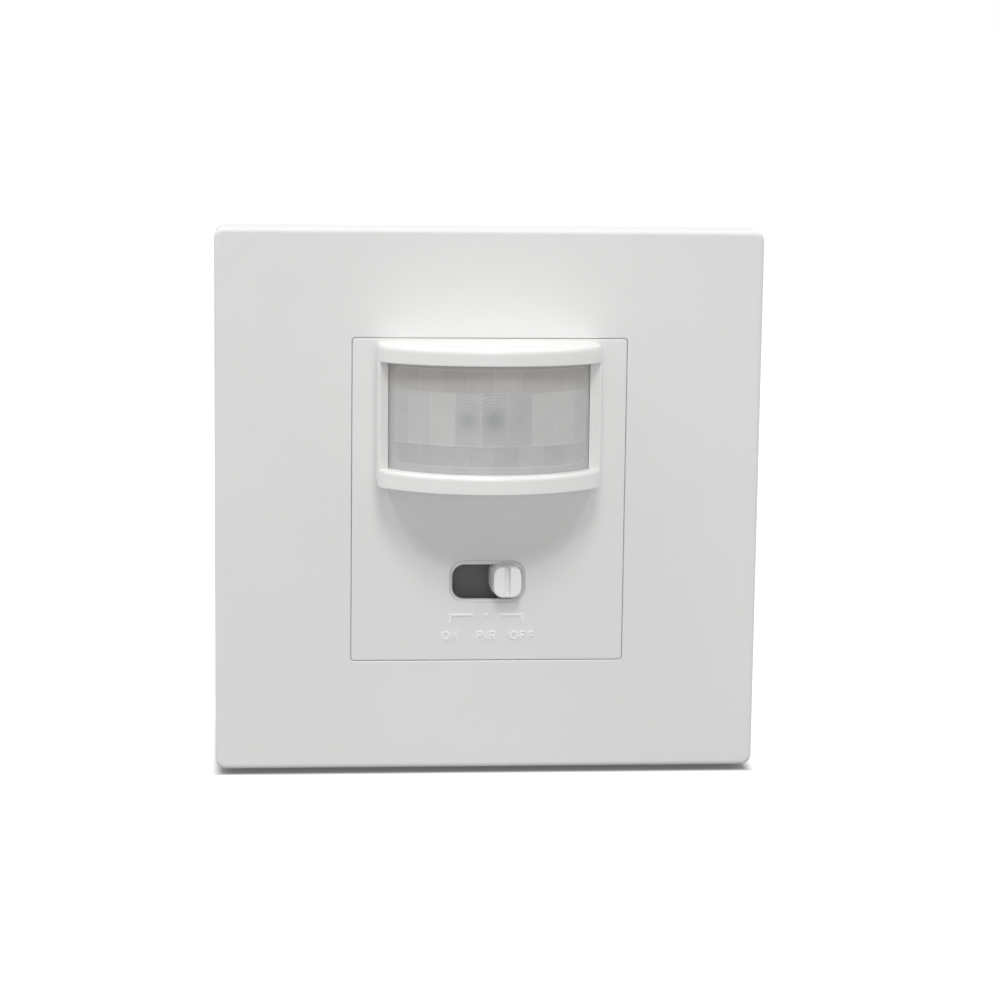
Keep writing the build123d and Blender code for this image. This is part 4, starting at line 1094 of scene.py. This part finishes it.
def fresnel_lens():
    """The curved milky sheet, pressed with rings and with lines between its segments."""
    chance = random.Random(7)
    tones = {}
    for row in range(3):
        for step in range(-10, 11):
            base = 0.52
            if row == 1:
                # In the middle row the segments are lighter away from the centre, and darker towards both
                # ends, which is painted shade of the hood there
                base += 0.03 + 0.17 * smooth_step(1, 4, abs(step)) - 0.12 * smooth_step(5.5, 8, abs(step))
            tones[(row, step * 6)] = base + chance.uniform(-0.05, 0.05)
    columns = 400
    rows = 196
    solid = Solid()
    shades = []

    def add_row(z, pressed):
        """Adds one row of points, pressed on the front or plain on the back."""
        row = []
        radius = lens_radius - lens_thickness
        for i in range(columns + 1):
            angle = -lens_half_angle + 2 * lens_half_angle * i / columns
            if pressed:
                radius = lens_radius - max(lens_groove(angle, z), -0.04) - 0.04
            row.append((radius * sin(radians(angle)), axis_y - radius * cos(radians(angle)), z))
            shades.append(lens_tone(angle, z, tones) if pressed else 0.5)
        return solid.add(row)

    heights = [lens_bottom + (lens_top - lens_bottom) * j / rows for j in range(rows + 1)]
    sheet = [add_row(z, True) for z in heights]
    for one, other in zip(sheet, sheet[1:]):
        solid.strip(one, other)
    inner = [add_row(z, False) for z in (lens_bottom, lens_top)]
    solid.strip(inner[0], inner[1])
    solid.strip(sheet[0], inner[0])
    solid.strip(sheet[-1], inner[1])
    for side in (0, -1):
        edge = [row[side] for row in sheet]
        solid.faces.append(tuple(edge + [inner[1][side], inner[0][side]]))
    solid.points = [(x + axis_x, y, z) for x, y, z in solid.points]
    return solid, shades


def mode_knob():
    """The knob: round edges, an upright groove and a long body behind."""
    solid = Solid()
    x0, z0 = knob_centre
    across, up = knob_half
    edge = (x0 - across, x0 + across, z0 - up, z0 + up, knob_corner)
    steps = [grown(edge, -knob_edge * s) for s in (0.03, 0.13, 0.3, 0.55, 1.0, 1.25)]

    def height(x, z):
        depth = knob_front_y + round_drop(-distance(edge, x, z), knob_edge)
        inside = smooth_step(groove_half + 0.05, groove_half - 0.08, abs(x - x0))
        inside *= smooth_step(groove_bottom - 0.05, groove_bottom + 0.1, z)
        return max(depth, knob_front_y + groove_depth * inside)

    loose = grid(x0 - across + 0.1, x0 + across - 0.1, z0 - up + 0.1, z0 + up - 0.1, 0.09)
    fine = grid(x0 - 0.5, x0 + 0.5, groove_bottom - 0.1, z0 + up - 0.05, 0.045)
    loose = [p for p in loose if abs(p[0] - x0) > 0.55 or p[1] < groove_bottom - 0.15] + fine
    loops = [loop_of(shape, 20, 20, 12) for shape in (edge, *steps)]

    def keep(x, z):
        return distance(edge, x, z) < 0

    loose = far_from([p for p in loose if keep(*p)], [edge, *steps], 0.02)
    front = relief(solid, loops, loose, height, keep)
    shape = outline(*edge, 20, 20, 12)
    to_left, to_right, upright = knob_flare
    low, high = z0 - up - upright, z0 + up + upright
    body = (x0 - across - to_left, x0 + across + to_right, low, high, knob_corner)
    body = outline(*body, 20, 20, 12)
    rings = [
        front[0],
        solid.add(flat_ring(shape, knob_front_y + knob_edge + 0.2)),
        solid.add(flat_ring(body, knob_flare_y)),
        solid.add(flat_ring(body, knob_back_y)),
    ]
    solid.join(rings)
    across, up = socket_half
    socket = outline(x0 - across, x0 + across, z0 - up, z0 + up, 0.3, 20, 20, 12)
    mouth = solid.add(flat_ring(socket, knob_back_y))
    floor = solid.add(flat_ring(socket, socket_floor_y))
    solid.join([rings[-1], mouth, floor])
    solid.faces.append(tuple(floor))
    return solid


def stroke(solid, points, closed=False, front=face_y, facing=-1, half=stroke_half):
    """A raised line with rounded shoulders along flat points."""
    profile = [(-1.0, -0.1), (-0.95, 0.5), (-0.6, 0.95), (0.0, 1.0), (0.6, 0.95), (0.95, 0.5), (1.0, -0.1)]
    count = len(points)
    rows = []
    for i in range(count):
        before = points[i - 1] if i > 0 or closed else points[i]
        after = points[(i + 1) % count] if i < count - 1 or closed else points[i]
        one = Vector((points[i][0] - before[0], points[i][1] - before[1]))
        two = Vector((after[0] - points[i][0], after[1] - points[i][1]))
        one = one.normalized() if one.length > 0 else two.normalized()
        two = two.normalized() if two.length > 0 else one
        side = Vector((-(one + two).y, (one + two).x)).normalized()
        stretch = min(1 / max(side.dot(Vector((-one.y, one.x))), 0.4), 1.6)
        x, z = points[i]
        row = []
        for share, rise in profile:
            shift = half * share * stretch
            row.append((x + side.x * shift, front + facing * stroke_height * rise, z + side.y * shift))
        rows.append(solid.add(row))
    solid.join(rows)
    if closed:
        solid.band(rows[-1], rows[0])
    else:
        solid.faces += [tuple(rows[0]), tuple(rows[-1])]


def bow(x, z, across, up, start, end, steps=14):
    """Points along an oval, by angles in degrees."""
    turns = [radians(start + (end - start) * i / steps) for i in range(steps + 1)]
    return [(x + across * cos(a), z + up * sin(a)) for a in turns]


def letter(solid, kind, left, width, top=letter_top, height=letter_height, **how):
    """One capital letter in raised strokes."""
    half = how.get("half", stroke_half)
    low, high = top - height + half, top - half
    right = left + width - half
    left += half
    middle = (low + high) / 2
    if kind == "O":
        shape = bow((left + right) / 2, middle, (right - left) / 2, (high - low) / 2, 0, 345, 23)
        stroke(solid, shape, closed=True, **how)
        return
    bend = (high - middle) / 2
    stem = [(left, low), (left, high)]
    head = [*stem, *bow(right - bend, middle + bend, bend, bend, 90, -90), (left, middle)]
    lines = {
        "N": [[*stem, (right, low), (right, high)]],
        "I": [stem],
        "P": [head],
        "R": [head, [(right - 0.5, middle), (right, low)]],
        "F": [[*stem, (right, high)], [(left, middle), (right - 0.12, middle)]],
        "L": [[(left, high), (left, low), (right, low)]],
    }
    for line in lines[kind]:
        stroke(solid, line, **how)


def legend():
    """Brackets, a dot and the three generic position names under the slot."""
    solid = Solid()
    for side in (-1, 1):
        near, far = mark_x + side * mark_inner, mark_x + side * (mark_outer - stroke_half)
        stroke(solid, [(near, mark_z), (far, mark_z), (far, mark_z - mark_drop)])
    dot = [(mark_x - mark_dot, mark_z), (mark_x + mark_dot, mark_z)]
    stroke(solid, dot, half=mark_dot)
    for word, left, gap, widths in position_names:
        for kind, width in zip(word, widths):
            letter(solid, kind, left, width)
            left += width + gap
    return solid


def rear_marks():
    """Raised generic terminal letters, a load symbol and an empty label frame on the back."""
    solid = Solid()
    _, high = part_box("rear_housing")
    how = {"front": high.y / mm, "facing": 1, "half": rear_stroke_half}
    for node, kind in (("terminal_live", "L"), ("terminal_neutral", "N")):
        left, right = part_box(node)
        middle = -(left.x + right.x) / 2 / mm
        start = middle - rear_letter_width / 2
        size = {"top": rear_letter_top, "height": rear_letter_height}
        letter(solid, kind, start, rear_letter_width, **size, **how)
    left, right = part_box("terminal_load")
    middle = -(left.x + right.x) / 2 / mm
    centre = rear_letter_top - rear_letter_height / 2
    stroke(solid, bow(middle, centre, 1.2, 1.2, 0, 345, 23), closed=True, **how)
    for turn in (45, 135):
        stroke(solid, bow(middle, centre, 1.1, 1.1, turn, turn + 180, 1), **how)
    stroke(solid, loop_of(label_frame, 8, 8, 6), closed=True, **how)
    solid.points = [(-x, y, z) for x, y, z in solid.points]
    return solid


def finish_node(node, material):
    """Gives a construction part its material, and small round edges."""
    node.data.materials.clear()
    node.data.materials.append(material)
    weld = node.modifiers.new("weld", "WELD")
    weld.merge_threshold = 0.002 * mm
    bevel = node.modifiers.new("bevel", "BEVEL")
    bevel.width = 0.12 * mm
    bevel.segments = 2
    bevel.limit_method = "ANGLE"
    bevel.angle_limit = radians(40)
    bevel.use_clamp_overlap = True
    bevel.harden_normals = True


def make_object(materials):
    """Builds the pieces that show, and finishes every construction part."""
    white = materials["white_plastic"]
    hood = materials["bezel_plastic"]
    milky = materials["lens_plastic"]
    knob = materials["knob_plastic"]
    grey = materials["housing_plastic"]
    # The legend is moulded in the cover's white plastic; its lighter white is painted highlight on the
    # raised marks
    raised = plastic("legend_painted_highlight", (0.9, 0.9, 0.895), 0.35, 0.2, 0.002, 0.006)
    sheet, tones = fresnel_lens()
    make_piece("plate", surround_plate(), white, "surround", "white_plastic", "surround_plate")
    make_piece("cover", front_cover(), white, "housing", "white_plastic", "front_cover")
    make_piece("legend", legend(), raised, "housing", "white_plastic")
    make_piece("bezel", lens_bezel(), hood, "housing", "bezel_plastic", "lens_bezel")
    make_piece("lens", sheet, milky, "housing", "lens_plastic", "fresnel_lens", tones=tones)
    make_piece("knob", mode_knob(), knob, "mode_slider", "knob_plastic", "mode_knob")
    make_piece("rear_marks", rear_marks(), grey, "housing", "housing_plastic")
    for part in frame["record"]["subparts"]:
        node = frame["nodes"][part["node"]]
        finish_node(node, materials[part["material_slot"]])


make_camera()
make_light()
make_floor()
make_object(make_materials())
bpy.context.scene.view_settings.view_transform = "Standard"
